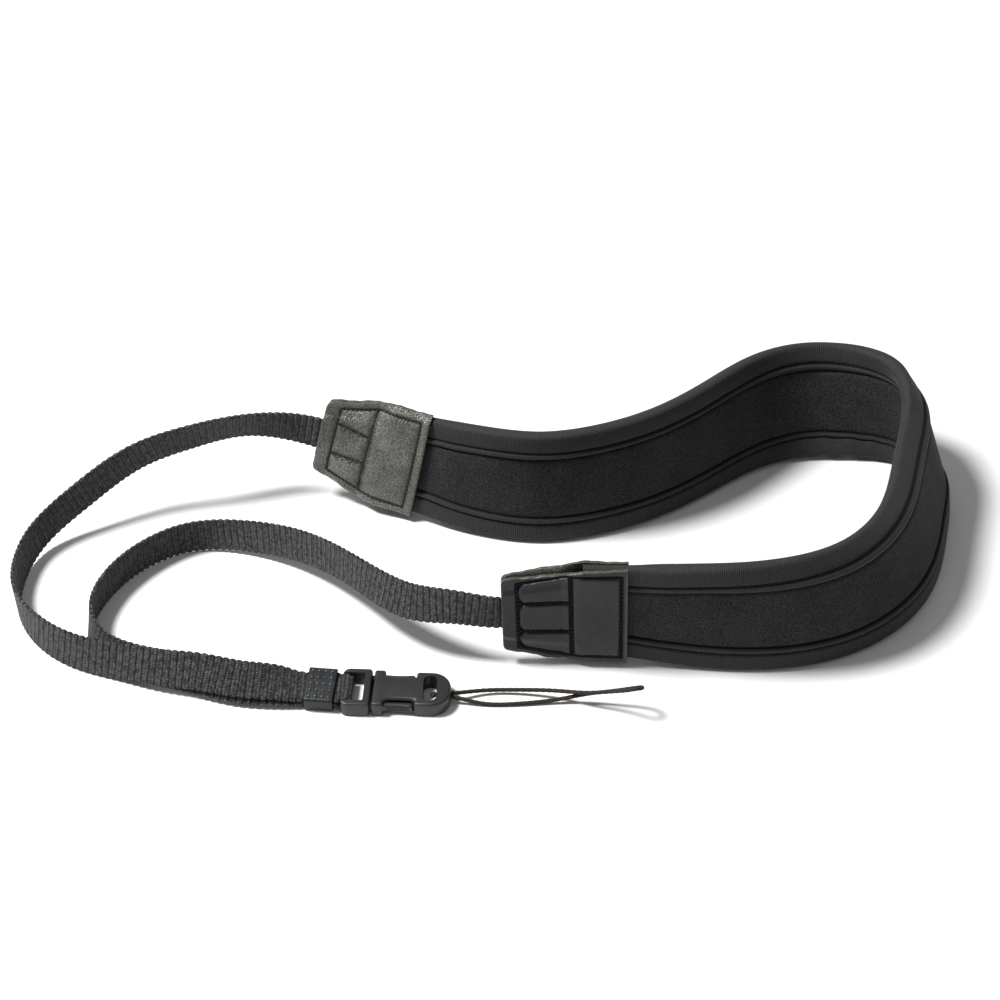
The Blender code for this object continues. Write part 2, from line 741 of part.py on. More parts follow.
def buckle_plug():
    """The plug: a frame with a bar for the webbing, and two arms that reach into the socket."""
    plug = plastic_block("buckle_plug", rounded_box(plug_start, plug_end, PLUG_WIDTH / 2, PLUG_CORNER))
    window_start = plug_start - PLUG_LENGTH / 2
    window = rounded_box(window_start, plug_end - CROSSPIECE, window_half, WINDOW_CORNER, 3)
    join_or_cut(plug, "window_cutter", window, -CUT_PAST, BUCKLE_THICK + CUT_PAST, "DIFFERENCE")
    boolean(plug, helper("bar_form", bar_mesh("bar_form", window_half + BAR_SET_IN)), "UNION")
    low = prong_middle_height - PRONG_HEIGHT / 2
    for side, word in ((1, "far"), (-1, "near")):
        join_or_cut(plug, f"{word}_arm_form", prong_outline(side), low, low + PRONG_HEIGHT, "UNION")
    return plug


def socket_outline():
    """The socket seen from above: the flange, the narrower neck and the D-shaped head."""
    flange_half, neck_half, head_half = FLANGE_WIDTH / 2, NECK_WIDTH / 2, HEAD_WIDTH / 2
    corner = SOCKET_CORNER
    near = [(flange_start, -flange_half + corner), (flange_start + corner, -flange_half)]
    near += [(neck_start - corner, -flange_half), (neck_start, -flange_half + corner)]
    near.append((neck_start, -neck_half))
    near += [(head_start, -neck_half), (head_start, -head_half + corner), (head_start + corner, -head_half)]
    round_reach = HEAD_LENGTH * HEAD_ROUND_SHARE
    for turn in np.linspace(-90, 0, 6):
        x = head_end - round_reach + round_reach * cos(radians(turn))
        near.append((x, -head_half * abs(sin(radians(turn))) ** HEAD_ROUND_POWER))
    return near + [(x, -y) for x, y in near[-2::-1]]


def buckle_socket():
    """The socket: a flange, a neck that leaves the plug's arms bare at both sides, and the D-shaped end."""
    socket = plastic_block("buckle_socket", socket_outline())
    half = SLOT_WIDTH / 2
    slot = rounded_box(slot_middle - half, slot_middle + half, SLOT_LENGTH / 2, half * 0.96, 5)
    join_or_cut(socket, "slot_cutter", slot, -CUT_PAST, BUCKLE_THICK + CUT_PAST, "DIFFERENCE")
    low = prong_middle_height - PRONG_HEIGHT / 2 - GAP
    inner = prong_half_across - PRONG_THICK - PRONG_ROOT - GAP
    outer = prong_half_across + GAP
    start, end = flange_start - CUT_PAST, head_start - PRONG_TIP_SHORT + GAP * 2
    for side, word in ((1, "far"), (-1, "near")):
        tunnel = [(x, side * y) for x, y in ((start, inner), (end, inner), (end, outer), (start, outer))]
        join_or_cut(socket, f"{word}_tunnel_cutter", tunnel, low, low + PRONG_HEIGHT + 2 * GAP, "DIFFERENCE")
    reach = CORD_DIAMETER + 2 * GAP
    hole_end = head_end + CUT_PAST
    hole = [(slot_middle, -reach), (hole_end, -reach), (hole_end, reach), (slot_middle, reach)]
    rise = CORD_DIAMETER / 2 + CORD_ROOM
    middle = BUCKLE_THICK / 2
    join_or_cut(socket, "cord_hole_cutter", hole, middle - rise, middle + rise, "DIFFERENCE")
    return socket


# Cord


def cord_loop():
    """A thin braided cord: both ends in the slot's knot, out through the D's tip and round in one loop."""
    route = Smooth(np.array(CORD_POINTS) * MM)
    curve = bpy.data.curves.new("loop_cord", "CURVE")
    curve.dimensions = "3D"
    curve.bevel_depth = CORD_DIAMETER / 2
    curve.bevel_resolution = 2
    curve.use_fill_caps = True
    points = route(spaced(0, route.length, CORD_DIAMETER * 2.2))
    line = curve.splines.new("POLY")
    line.points.add(len(points) - 1)
    for point, place in zip(line.points, points):
        point.co = (*place, 1)
    return new_object("loop_cord", curve, (0.02, 0.017, 0.015), 0.8)


def cord_knot():
    """The knot that keeps both ends of the cord in the slot."""
    bm = bmesh.new()
    bmesh.ops.create_icosphere(bm, subdivisions=2, radius=KNOT_RADIUS)
    item = new_object("cord_knot", finish_mesh("cord_knot", bm), (0.02, 0.017, 0.015), 0.8)
    reach = slot_middle + SLOT_WIDTH / 2 - KNOT_RADIUS - GAP
    item.location = bar_middle + buckle_along * reach
    return item


for item in list(bpy.data.objects):
    bpy.data.objects.remove(item)

pad_core()
binding("pad_binding_upper", 1)
binding("pad_binding_lower", -1)
leaf("rear_patch_inner", False, -1, False, (0.09, 0.09, 0.085), 0.55)
leaf("rear_patch_outer", False, 1, True, (0.045, 0.045, 0.045), 0.5)
leaf("front_patch_inner", True, -1, False, (0.09, 0.09, 0.085), 0.55)
leaf("front_patch_outer", True, 1, True, (0.045, 0.045, 0.045), 0.5)
web_rear()
web_front()
sleeve()
buckle_plug()
buckle_socket()
cord_loop()
cord_knot()
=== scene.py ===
import json
from functools import partial
from math import cos, pi, radians, sin

import bmesh
import bpy
import numpy as np
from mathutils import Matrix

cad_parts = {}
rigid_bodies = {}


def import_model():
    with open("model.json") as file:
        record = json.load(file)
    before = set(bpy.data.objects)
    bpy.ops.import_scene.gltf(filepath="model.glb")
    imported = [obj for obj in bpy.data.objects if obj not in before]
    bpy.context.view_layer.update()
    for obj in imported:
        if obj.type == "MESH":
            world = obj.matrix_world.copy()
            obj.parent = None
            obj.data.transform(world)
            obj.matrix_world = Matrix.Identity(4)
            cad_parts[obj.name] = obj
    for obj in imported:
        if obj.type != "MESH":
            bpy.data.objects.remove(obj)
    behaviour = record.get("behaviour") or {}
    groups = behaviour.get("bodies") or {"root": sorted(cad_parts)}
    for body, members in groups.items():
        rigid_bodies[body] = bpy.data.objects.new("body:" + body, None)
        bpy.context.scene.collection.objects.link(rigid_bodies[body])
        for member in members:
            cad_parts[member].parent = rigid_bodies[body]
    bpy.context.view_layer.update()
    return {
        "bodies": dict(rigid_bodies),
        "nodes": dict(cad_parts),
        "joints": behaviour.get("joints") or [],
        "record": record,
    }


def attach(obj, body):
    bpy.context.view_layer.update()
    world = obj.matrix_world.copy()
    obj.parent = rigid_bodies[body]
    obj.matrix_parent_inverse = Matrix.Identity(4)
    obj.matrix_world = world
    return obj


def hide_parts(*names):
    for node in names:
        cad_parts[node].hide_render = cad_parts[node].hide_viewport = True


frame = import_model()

# The view and the cord loop.
# The strap lies on a white table and is seen from the front, 38 degrees down. The loop is a thin braided
# cord, its two ends tied in a small knot that sits in the slot of the buckle's D-shaped end.

VIEW_PLACE = (0.00292, -0.63542, 0.52331)
VIEW_TILT = 52
VIEW_LENS = 87.5
VIEW_FILM = 36

camera_data = bpy.data.cameras.new("view")
camera_data.lens = VIEW_LENS
camera_data.sensor_width = VIEW_FILM
camera = bpy.data.objects.new("view", camera_data)
camera.location = VIEW_PLACE
camera.rotation_euler = (radians(VIEW_TILT), 0, 0)
bpy.context.scene.collection.objects.link(camera)
bpy.context.scene.camera = camera

MM = 0.001
CORD_DIAMETER = 1.3 * MM
CORD_YARN = 1.05 * MM
CORD_RELIEF = 0.075 * MM
CORD_STEP = 0.13 * MM
CORD_SIDES = 24
CORD_PATH_POINTS = 140
KNOT_RADIUS = 1.4 * MM
KNOT_FROM_BAR = 27.8 * MM
KNOT_BELOW_MIDDLE = 0.2 * MM
KNOT_SIDES = 16
CORD_BROWN = (0.036, 0.030, 0.025)

CORD_ROUTE = (
    # x, y, z in millimetres
    (-16.7, -67.9, 2.6),
    (-11.7, -67.9, 2.6),
    (-3.4, -66.0, 1.8),
    (8.9, -65.6, 1.8),
    (20.9, -67.8, 3.4),
    (30.9, -71.1, 5.6),
    (38.9, -73.6, 8.5),
    (43.5, -75.9, 11.2),
    (45.4, -76.1, 11.8),
    (47.0, -75.1, 11.2),
    (47.2, -73.5, 10.1),
    (46.0, -72.3, 8.9),
    (38.9, -70.6, 6.0),
    (30.9, -69.6, 3.8),
    (20.9, -69.8, 1.5),
    (8.9, -70.9, 0.8),
    (-3.7, -70.8, 1.0),
    (-11.7, -69.6, 2.3),
    (-16.7, -69.4, 2.6),
)

UP = np.array([0.0, 0.0, 1.0])


def unit(v):
    v = np.asarray(v, float)
    return v / np.linalg.norm(v, axis=-1, keepdims=True)


def cross(a, b):
    return np.cross(np.asarray(a, float), np.asarray(b, float))


def mixed(a, b, share):
    return a + (b - a) * share


def eased(value, start, end):
    """0 before start and 1 after end, with a soft rise between them."""
    share = np.clip((np.asarray(value, float) - start) / (end - start), 0, 1)
    return share * share * (3 - 2 * share)


class Route:
    """A smooth curve through rows of values, read by the distance along their first three columns."""

    def __init__(self, rows):
        self.rows = np.asarray(rows, float)
        steps = np.linalg.norm(np.diff(self.rows[:, :3], axis=0), axis=1)
        self.at_rows = np.concatenate([[0], np.cumsum(steps)])
        self.length = self.at_rows[-1]
        count = len(self.rows)
        matrix = np.eye(count)
        right = np.zeros_like(self.rows)
        for i in range(1, count - 1):
            before, after = steps[i - 1], steps[i]
            matrix[i, i - 1 : i + 2] = before / 6, (before + after) / 3, after / 6
            rise = (self.rows[i + 1] - self.rows[i]) / after
            right[i] = rise - (self.rows[i] - self.rows[i - 1]) / before
        self.bends = np.linalg.solve(matrix, right)

    def __call__(self, distance):
        distance = np.atleast_1d(distance)
        i = np.clip(np.searchsorted(self.at_rows, distance) - 1, 0, len(self.rows) - 2)
        step = (self.at_rows[i + 1] - self.at_rows[i])[:, None]
        b = (distance - self.at_rows[i])[:, None] / step
        a = 1 - b
        bend = (a**3 - a) * self.bends[i] + (b**3 - b) * self.bends[i + 1]
        return a * self.rows[i] + b * self.rows[i + 1] + bend * step**2 / 6

    def direction(self, distance):
        reach = 0.2 * MM
        return unit(self(distance + reach)[:, :3] - self(distance - reach)[:, :3])


def new_piece(name, mesh, *materials):
    piece = bpy.data.objects.new(name, mesh)
    for material in materials:
        mesh.materials.append(material)
    bpy.context.scene.collection.objects.link(piece)
    return piece


def fixed(piece, slot, node=None):
    """Puts a piece on the one body, in place of its CAD node if it has one. The slot argument is not used.
    """
    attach(piece, "root")
    if node:
        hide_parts(node)
    return piece


def mark_points(mesh, word, values):
    """Keeps a number or a vector for each point of a mesh."""
    values = np.asarray(values, np.float32)
    vector = values.size == 3 * len(mesh.vertices)
    mark = mesh.attributes.new(word, "FLOAT_VECTOR" if vector else "FLOAT", "POINT")
    mark.data.foreach_set("vector" if vector else "value", values.reshape(-1))


def skin(name, grid, closed=False, **marks):
    """A smooth mesh over rows of points, each row one ring, with marks kept on the points."""
    grid = np.asarray(grid, float)
    rows, columns = grid.shape[:2]
    index = np.arange(rows * columns).reshape(rows, columns)
    below = np.vstack([index, index[:1]]) if closed else index
    beside = np.roll(below, -1, axis=1)
    quads = np.stack([below[:-1], beside[:-1], beside[1:], below[1:]], axis=-1).reshape(-1, 4)
    points = grid.reshape(-1, 3)
    corners = points[quads]
    middle = points.mean(axis=0)
    first = np.cross(corners[:, 1] - corners[:, 0], corners[:, 2] - corners[:, 0])
    second = np.cross(corners[:, 2] - corners[:, 0], corners[:, 3] - corners[:, 0])
    if ((first + second) * (corners[:, 0] - middle)).sum() < 0:
        quads = quads[:, ::-1]
        index = index[:, ::-1]
    faces = quads.tolist()
    if not closed:
        faces += [index[0][::-1].tolist(), index[-1].tolist()]
    mesh = bpy.data.meshes.new(name)
    mesh.from_pydata(points.tolist(), [], faces)
    for word, values in marks.items():
        whole = grid.shape if np.ndim(values) == 3 else grid.shape[:2]
        mark_points(mesh, word, np.broadcast_to(values, whole))
    mesh.shade_smooth()
    mesh.set_sharp_from_angle(angle=radians(70))
    return mesh


def carried_frames(points):
    """Two square directions at each point of a line, carried along it without twist."""
    headings = unit(np.gradient(points, axis=0))
    side = np.empty_like(points)
    side[0] = unit(cross(headings[0], UP))
    for i in range(1, len(points)):
        side[i] = unit(side[i - 1] - headings[i] * np.dot(side[i - 1], headings[i]))
    return side, cross(headings, side)


def braided_tube(name, points, radius, sides, closed=False):
    """A round tube whose surface is laid with crossing yarns, like small scales."""
    steps = np.linalg.norm(np.diff(points, axis=0), axis=1)
    along = np.concatenate([[0], np.cumsum(steps)])
    side, rise = carried_frames(points)
    turn = np.arange(sides) * 2 * pi / sides
    one_way = 2 * turn[None] / pi + along[:, None] / (2 * CORD_YARN)
    other_way = 2 * turn[None] / pi - along[:, None] / (2 * CORD_YARN)
    over = (np.floor(one_way) + np.floor(other_way)) % 2
    wide = np.where(over > 0, one_way, other_way)
    long = np.where(over > 0, other_way, one_way)
    crown = np.abs(np.sin(pi * wide)) ** 0.5 * np.abs(np.sin(pi * long)) ** 0.35
    reach = radius - CORD_RELIEF + CORD_RELIEF * 1.5 * crown
    arms = np.cos(turn)[None, :, None] * side[:, None] + np.sin(turn)[None, :, None] * rise[:, None]
    rings = points[:, None] + arms * reach[..., None]
    return skin(name, rings, closed=closed, crown=crown)


def add_node(tree, kind, inputs=(), **settings):
    """One node. Its inputs are given by name or number, each as a value or as another node's output."""
    node = tree.nodes.new(kind)
    for word, value in settings.items():
        setattr(node, word, value)
    for key, value in dict(inputs).items():
        if isinstance(value, bpy.types.NodeSocket):
            tree.links.new(value, node.inputs[key])
        else:
            node.inputs[key].default_value = value
    return node


def new_finish(name, roughness=0.5, gloss=0.5, sheen=0.0):
    """A material with its Principled shader's even values set. Colour and bump are linked to it later."""
    material = bpy.data.materials.new(name)
    material.use_nodes = True
    shader = material.node_tree.nodes["Principled BSDF"]
    even = {"Roughness": roughness, "Specular IOR Level": gloss, "Sheen Weight": sheen}
    for word, value in {**even, "Sheen Roughness": 0.4}.items():
        shader.inputs[word].default_value = value
    return material, material.node_tree, shader


def speckle(tree, scale, detail=3.0, roughness=0.55):
    """Noise on the piece's own coordinates. scale is in grains a metre."""
    at = add_node(tree, "ShaderNodeTexCoord").outputs["Object"]
    values = {"Vector": at, "Scale": scale, "Detail": detail, "Roughness": roughness}
    return add_node(tree, "ShaderNodeTexNoise", values).outputs["Fac"]


def shade(colour, share):
    return tuple(share * c for c in colour)


def between(tree, share, low, high, start=0.0, end=1.0):
    """A colour that goes from low to high as share goes from start to end. A number stands for a grey."""
    ramp = add_node(tree, "ShaderNodeValToRGB", {"Fac": share})
    first, last = ramp.color_ramp.elements
    first.position, last.position = start, end
    first.color, last.color = ((*(t if isinstance(t, tuple) else (t, t, t)), 1) for t in (low, high))
    return ramp.outputs["Color"]


def blended(tree, share, first, second, how="MIX"):
    """Two colours in one, by share."""
    tones = (tone if isinstance(tone, bpy.types.NodeSocket) else (*tone, 1) for tone in (first, second))
    inputs = dict(zip((0, 6, 7), (share, *tones)))
    return add_node(tree, "ShaderNodeMix", inputs, data_type="RGBA", blend_type=how).outputs[2]


def tinted(tree, shader, tone, cover):
    """Colours the shader with a tone, darker and lighter where the cover of wear or clouds says so."""
    tree.links.new(blended(tree, 1.0, tone, cover, "MULTIPLY"), shader.inputs["Base Color"])


def dulled(tree, shader, value, low, high):
    """Gives the shader a roughness that goes from low to high with a value."""
    rough = add_node(tree, "ShaderNodeMapRange", {"Value": value, "To Min": low, "To Max": high})
    tree.links.new(rough.outputs[0], shader.inputs["Roughness"])


def counted(tree, operation, *values):
    """One sum in a material or in a tree of geometry."""
    return add_node(tree, "ShaderNodeMath", dict(enumerate(values)), operation=operation).outputs[0]


def hills(tree, value):
    """A row of round hills, one for each half turn of value."""
    return counted(tree, "ABSOLUTE", counted(tree, "SINE", value))


def raised(tree, shader, height, depth, strength=1.0, under=None):
    """Bump from a height of 0 to 1 that stands for depth, on top of another bump if one is given."""
    values = {"Height": height, "Distance": depth, "Strength": strength}
    if under is not None:
        values["Normal"] = under
    bump = add_node(tree, "ShaderNodeBump", values).outputs["Normal"]
    tree.links.new(bump, shader.inputs["Normal"])
    return bump


def marked(tree, word):
    return add_node(tree, "ShaderNodeAttribute", attribute_name=word).outputs["Fac"]


def cord_finish():
    material, tree, shader = new_finish("braided cord", 0.8, gloss=0.2, sheen=0.1)
    # The braid's valleys between the yarns are painted darker than its crowns, as painted shade.
    laid = between(tree, marked(tree, "crown"), shade(CORD_BROWN, 0.3), CORD_BROWN, 0.15, 0.85)
    worn = between(tree, speckle(tree, 900), 0.72, (1.25, 1.22, 1.15), 0.3, 0.7)
    tinted(tree, shader, laid, worn)
    raised(tree, shader, speckle(tree, 9000, 2), 0.04 * MM, 0.6)
    return material


cord_braid = cord_finish()
cord_route = Route(np.array(CORD_ROUTE) * MM)
cord_points = cord_route(np.arange(0, cord_route.length, CORD_STEP))[:, :3]
cord_tube = braided_tube("loop_cord_braided", cord_points, CORD_DIAMETER / 2, CORD_SIDES)
loop_cord = fixed(new_piece("loop_cord_braided", cord_tube, cord_braid), "cord_braid", "loop_cord")

BUCKLE_HEADING = -2.5
BUCKLE_THICK = 5.2 * MM
BAR_PLACE = (-45.98 * MM, -67.395 * MM)
heading_turn = radians(BUCKLE_HEADING)
buckle_along = np.array([cos(heading_turn), sin(heading_turn), 0])
buckle_across = np.array([-sin(heading_turn), cos(heading_turn), 0])
bar_middle = np.array([*BAR_PLACE, BUCKLE_THICK / 2])
knot_middle = bar_middle + buckle_along * KNOT_FROM_BAR - buckle_across * KNOT_BELOW_MIDDLE
knot_turn = np.linspace(0, 2 * pi, 241)[:-1]
knot_x = np.sin(knot_turn) + 2 * np.sin(2 * knot_turn)
knot_y = np.cos(knot_turn) - 2 * np.cos(2 * knot_turn)
knot_line = np.stack([knot_x, knot_y, -1.2 * np.sin(3 * knot_turn)], axis=-1)
knot_points = knot_middle + knot_line * KNOT_RADIUS * 0.185
knot_tube = braided_tube("cord_knot_tied", knot_points, KNOT_RADIUS * 0.36, KNOT_SIDES, True)
cord_knot = fixed(new_piece("cord_knot_tied", knot_tube, cord_braid), "cord_braid", "cord_knot")
tuple(cord_points[0])
cord_route(np.linspace(0, cord_route.length, CORD_PATH_POINTS))[:, :3].tolist()

# The pad's foam strip.
# A 5 mm foam core under a fine black knit, about 400 mm long between the patches. It lies on its edge in
# one wide bow, and it is pinched thin where the patches are sewn over its ends.

LAY_LENGTH = 320 * MM
LAY_DEPTH = 150 * MM
PAD_WIDTH = 41.5 * MM
PAD_THICK = 5.0 * MM
PAD_END_SHARE = 0.895
PAD_PINCH = 0.66
PATCH_LENGTH = 40 * MM
PAD_IN_PATCH = 14 * MM
BINDING_WIDTH = 9.3 * MM
BINDING_THICK = 0.8 * MM
HINGE_IN = 7.5 * MM
FOLD_REACH = 1.3 * MM
CRINKLE = 0.32 * MM
CRINKLE_PITCH = 8.5 * MM
CRINKLE_SPREAD = 15 * MM
PANEL_SUNK = 0.25 * MM
PANEL_EDGE_SUNK = 0.75 * MM
PANEL_CROWN = 0.18 * MM
PANEL_STEP = 0.6 * MM
PINCH_EASE = 14 * MM
GAP = 0.3 * MM
PAD_BLACK = (0.0172, 0.0178, 0.0186)

PAD_ROWS = (
    # along, deep: shares of the lay. high: share of PAD_WIDTH. lean: degrees outwards.
    # upper, lower: degrees that each bound edge turns. wide: share of PAD_WIDTH.
    (-0.184, 0.264, 0.604, 8, 0, 0, PAD_END_SHARE),
    (-0.077, 0.185, 0.500, 11, 0, 0, PAD_END_SHARE),
    (-0.009, 0.124, 0.502, 8, 0, 0, 0.98),
    (0.052, 0.100, 0.506, 7, 0, 0, 1.00),
    (0.112, 0.125, 0.506, 7, 0, 0, 1.00),
    (0.175, 0.188, 0.506, 8, 0, 0, 1.00),
    (0.241, 0.300, 0.502, 10, 2, 2, 1.00),
    (0.289, 0.388, 0.494, 14, 6, 6, 1.00),
    (0.346, 0.443, 0.482, 19, 9, 11, 1.00),
    (0.394, 0.440, 0.482, 17, 0, 12, 1.00),
    (0.443, 0.395, 0.502, 2, -20, 12, 1.00),
    (0.472, 0.278, 0.504, -16, -42, 14, 1.00),
    (0.462, 0.102, 0.496, -23, -46, 16, 1.00),
    (0.427, -0.131, 0.502, -20, -43, 13, 1.00),
    (0.358, -0.291, 0.505, -9, -34, 7, 1.00),
    (0.270, -0.348, 0.506, -2, -14, 1, 1.00),
    (0.210, -0.347, 0.506, 0, -2, 0, 0.98),
    (0.136, -0.331, 0.498, 0, 0, 0, PAD_END_SHARE),
    (0.011, -0.324, 0.468, -4, 0, 0, PAD_END_SHARE),
)


def lay_point(along, deep, high):
    return along * LAY_LENGTH, deep * LAY_DEPTH, high


def upright(heading, lean):
    """The way up across a strip: vertical, tipped outwards by lean degrees, square to its heading."""
    out = unit(cross(UP, heading))
    tip = np.radians(lean)[:, None]
    across = np.cos(tip) * UP + np.sin(tip) * out
    return unit(across - heading * np.sum(across * heading, axis=1, keepdims=True))


pad_line = Route([(*lay_point(a, d, h * PAD_WIDTH), *rest) for a, d, h, *rest in PAD_ROWS])
crinkle_at = pad_line.at_rows[9] + 3 * MM


def on_pad(distance, across, out):
    """Points of the pad, by distance along it, across it from its middle and out of its middle plane."""
    distance, across, out = np.broadcast_arrays(distance, across, out)
    shape = distance.shape
    distance, across, out = distance.reshape(-1), across.reshape(-1), out.reshape(-1)
    row = pad_line(distance)
    heading = pad_line.direction(distance)
    middle_up = upright(heading, row[:, 3])
    middle_out = cross(middle_up, heading)
    side = np.sign(across)
    turned = np.radians(np.where(across > 0, row[:, 4], row[:, 5]))
    straight = row[:, 6] * PAD_WIDTH / 2 - HINGE_IN - FOLD_REACH
    past = np.clip(np.abs(across) - straight, 0, 2 * FOLD_REACH)
    beyond = np.maximum(np.abs(across) - straight - 2 * FOLD_REACH, 0)
    angle = turned * past / (2 * FOLD_REACH)
    up_reach = np.minimum(np.abs(across), straight) + past * np.sinc(angle / pi) + beyond * np.cos(angle)
    out_reach = past * angle / 2 * np.sinc(angle / (2 * pi)) ** 2 + beyond * np.sin(angle)
    crinkled = np.exp(-(((distance - crinkle_at) / CRINKLE_SPREAD) ** 2)) * eased(-across, 9 * MM, 17 * MM)
    waves = np.sin(2 * pi * distance / CRINKLE_PITCH + 0.9 * np.sin(distance / (5 * MM)))
    up_reach -= CRINKLE * crinkled * (1 + waves)
    face_out = np.cos(angle)[:, None] * middle_out - np.sin(angle)[:, None] * middle_up
    points = (
        row[:, :3]
        + middle_up * (side * up_reach)[:, None]
        + middle_out * (side * out_reach)[:, None]
        + face_out * out[:, None]
    )
    return points.reshape(*shape, 3)


def half_width(distance):
    return pad_line(distance)[:, 6] * PAD_WIDTH / 2


def half_thick(distance):
    """Half the pad's thickness, pinched under the patches."""
    past_patch = np.minimum(distance, pad_line.length - distance) - PATCH_LENGTH + 2 * MM
    return PAD_THICK / 2 * mixed(PAD_PINCH, 1, eased(past_patch, 0, PINCH_EASE))


pad_start = PATCH_LENGTH - PAD_IN_PATCH
pad_end = pad_line.length - pad_start


def pad_rings(step, profile_of):
    """Distances along the pad and a ring of points at each, from its profile of across and out."""
    distance = np.linspace(pad_start, pad_end, int((pad_end - pad_start) / step) + 1)
    return distance, on_pad(distance[:, None], *profile_of(distance))


def cover_profile(distance):
    """The cover's section: a little sunk and crowned between the bindings, its edges held in them."""
    half, face = half_width(distance), half_thick(distance)
    held = face - BINDING_THICK - GAP * 1.4
    edge = half - BINDING_THICK - GAP
    seam = half - BINDING_WIDTH
    inner = seam - 0.25 * MM
    across, out = [edge, edge - 1 * MM, seam - 0.05 * MM], [held * 0.6, held, held]
    for share in np.linspace(0, 1, 13)[::-1]:
        across.append(inner * share)
        sunk = mixed(PANEL_EDGE_SUNK, PANEL_SUNK, eased(inner * (1 - share), 0, 0.9 * MM))
        out.append(face - sunk + PANEL_CROWN * (1 - share**2))
    across, out = np.array(across).T, np.array(out).T
    across = np.concatenate([across, -across[:, -2::-1]], axis=1)
    out = np.concatenate([out, out[:, -2::-1]], axis=1)
    return np.concatenate([across, across[:, ::-1]], axis=1), np.concatenate([out, -out[:, ::-1]], axis=1)


def knit_cover_finish():
    """Fine black knit: tiny grey flecks in rows, a soft sheen and a pebbled hand."""
    material, tree, shader = new_finish("pad knit", 0.75, gloss=0.1, sheen=0.03)
    fleck = speckle(tree, 2600, 2, 0.7)
    grain = between(tree, fleck, shade(PAD_BLACK, 0.40), shade(PAD_BLACK, 2.6), 0.38, 0.68)
    tinted(tree, shader, grain, between(tree, speckle(tree, 90, 3), 0.85, 1.18, 0.3, 0.7))
    first = raised(tree, shader, fleck, 0.16 * MM, 0.7)
    raised(tree, shader, speckle(tree, 420, 2), 0.25 * MM, 0.35, first)
    return material


cover_mesh = skin("pad_cover_knit", pad_rings(PANEL_STEP, cover_profile)[1])
pad_cover = fixed(new_piece("pad_cover_knit", cover_mesh, knit_cover_finish()), "pad_cover", "pad_core")

# The two bindings of the pad.
# A ribbed elastic tape is folded round each long edge and sewn through the foam with one row of dark
# thread. Its inner edge is a finely ribbed bead that stands just above the pad's face.

RIB_PITCH = 0.65 * MM
RIB_HEIGHT = 0.13 * MM
STITCH_GROOVE = 7.0 * MM
PAD_STITCH_PITCH = 1.68 * MM
PAD_STITCH_LENGTH = 0.86 * PAD_STITCH_PITCH
PAD_STITCH_SUNK = 0.30 * MM
THREAD = 0.36 * MM
FOLD_ROUND = 1.5 * MM
BAND_GREY = (0.0225, 0.0230, 0.0235)

BAND_SECTION = (
    # in from the pad's edge in mm, above the face in mm, ribs, groove shade
    (2.3, 0.04, 1.0, 0.0),
    (4.0, 0.06, 1.0, 0.0),
    (5.7, 0.03, 1.0, 0.0),
    (6.4, -0.05, 0.8, 0.25),
    (6.75, -0.36, 0.3, 1.0),
    (7.05, -0.46, 0.1, 1.0),
    (7.35, -0.20, 0.3, 0.9),
    (7.65, 0.14, 0.8, 0.0),
    (8.2, 0.28, 0.8, 0.0),
    (8.75, 0.14, 0.7, 0.1),
    (9.2, -0.35, 0.0, 1.0),
)


SOCKET_KINDS = {"Finish": "NodeSocketMaterial", "Seed": "NodeSocketInt", "Sides": "NodeSocketInt"}


def group_tree(name, sizes):
    """An empty Geometry Nodes tree with a geometry in and out and one named input for each size."""
    tree = bpy.data.node_groups.new(name, "GeometryNodeTree")
    for way in ("INPUT", "OUTPUT"):
        tree.interface.new_socket("Geometry", in_out=way, socket_type="NodeSocketGeometry")
    for word in sizes:
        kind = SOCKET_KINDS.get(word, "NodeSocketFloat")
        tree.interface.new_socket(word, in_out="INPUT", socket_type=kind)
    return tree, tree.nodes.new("NodeGroupInput").outputs


def end_tree(tree, geometry, finish):
    """Ends a tree: its instances made real and coated with its material."""
    real = add_node(tree, "GeometryNodeRealizeInstances", {"Geometry": geometry})
    coated = add_node(tree, "GeometryNodeSetMaterial", {"Geometry": real.outputs[0], "Material": finish})
    tree.links.new(coated.outputs[0], tree.nodes.new("NodeGroupOutput").inputs[0])
    return tree


def named(tree, word, kind="FLOAT"):
    node = add_node(tree, "GeometryNodeInputNamedAttribute", {"Name": word}, data_type=kind)
    return node.outputs["Attribute"]


def grown(name, mesh, tree, **sizes):
    """The plain mesh that a tree makes from a mesh, with its inputs set by their identifiers."""
    carrier = new_piece(name, mesh)
    modifier = carrier.modifiers.new("grow", "NODES")
    modifier.node_group = tree
    for item in tree.interface.items_tree:
        if item.in_out == "INPUT" and item.name.replace(" ", "_") in sizes:
            modifier[item.identifier] = sizes[item.name.replace(" ", "_")]
    graph = bpy.context.evaluated_depsgraph_get()
    made = bpy.data.meshes.new_from_object(carrier.evaluated_get(graph))
    bpy.data.objects.remove(carrier)
    made.name = name
    return made


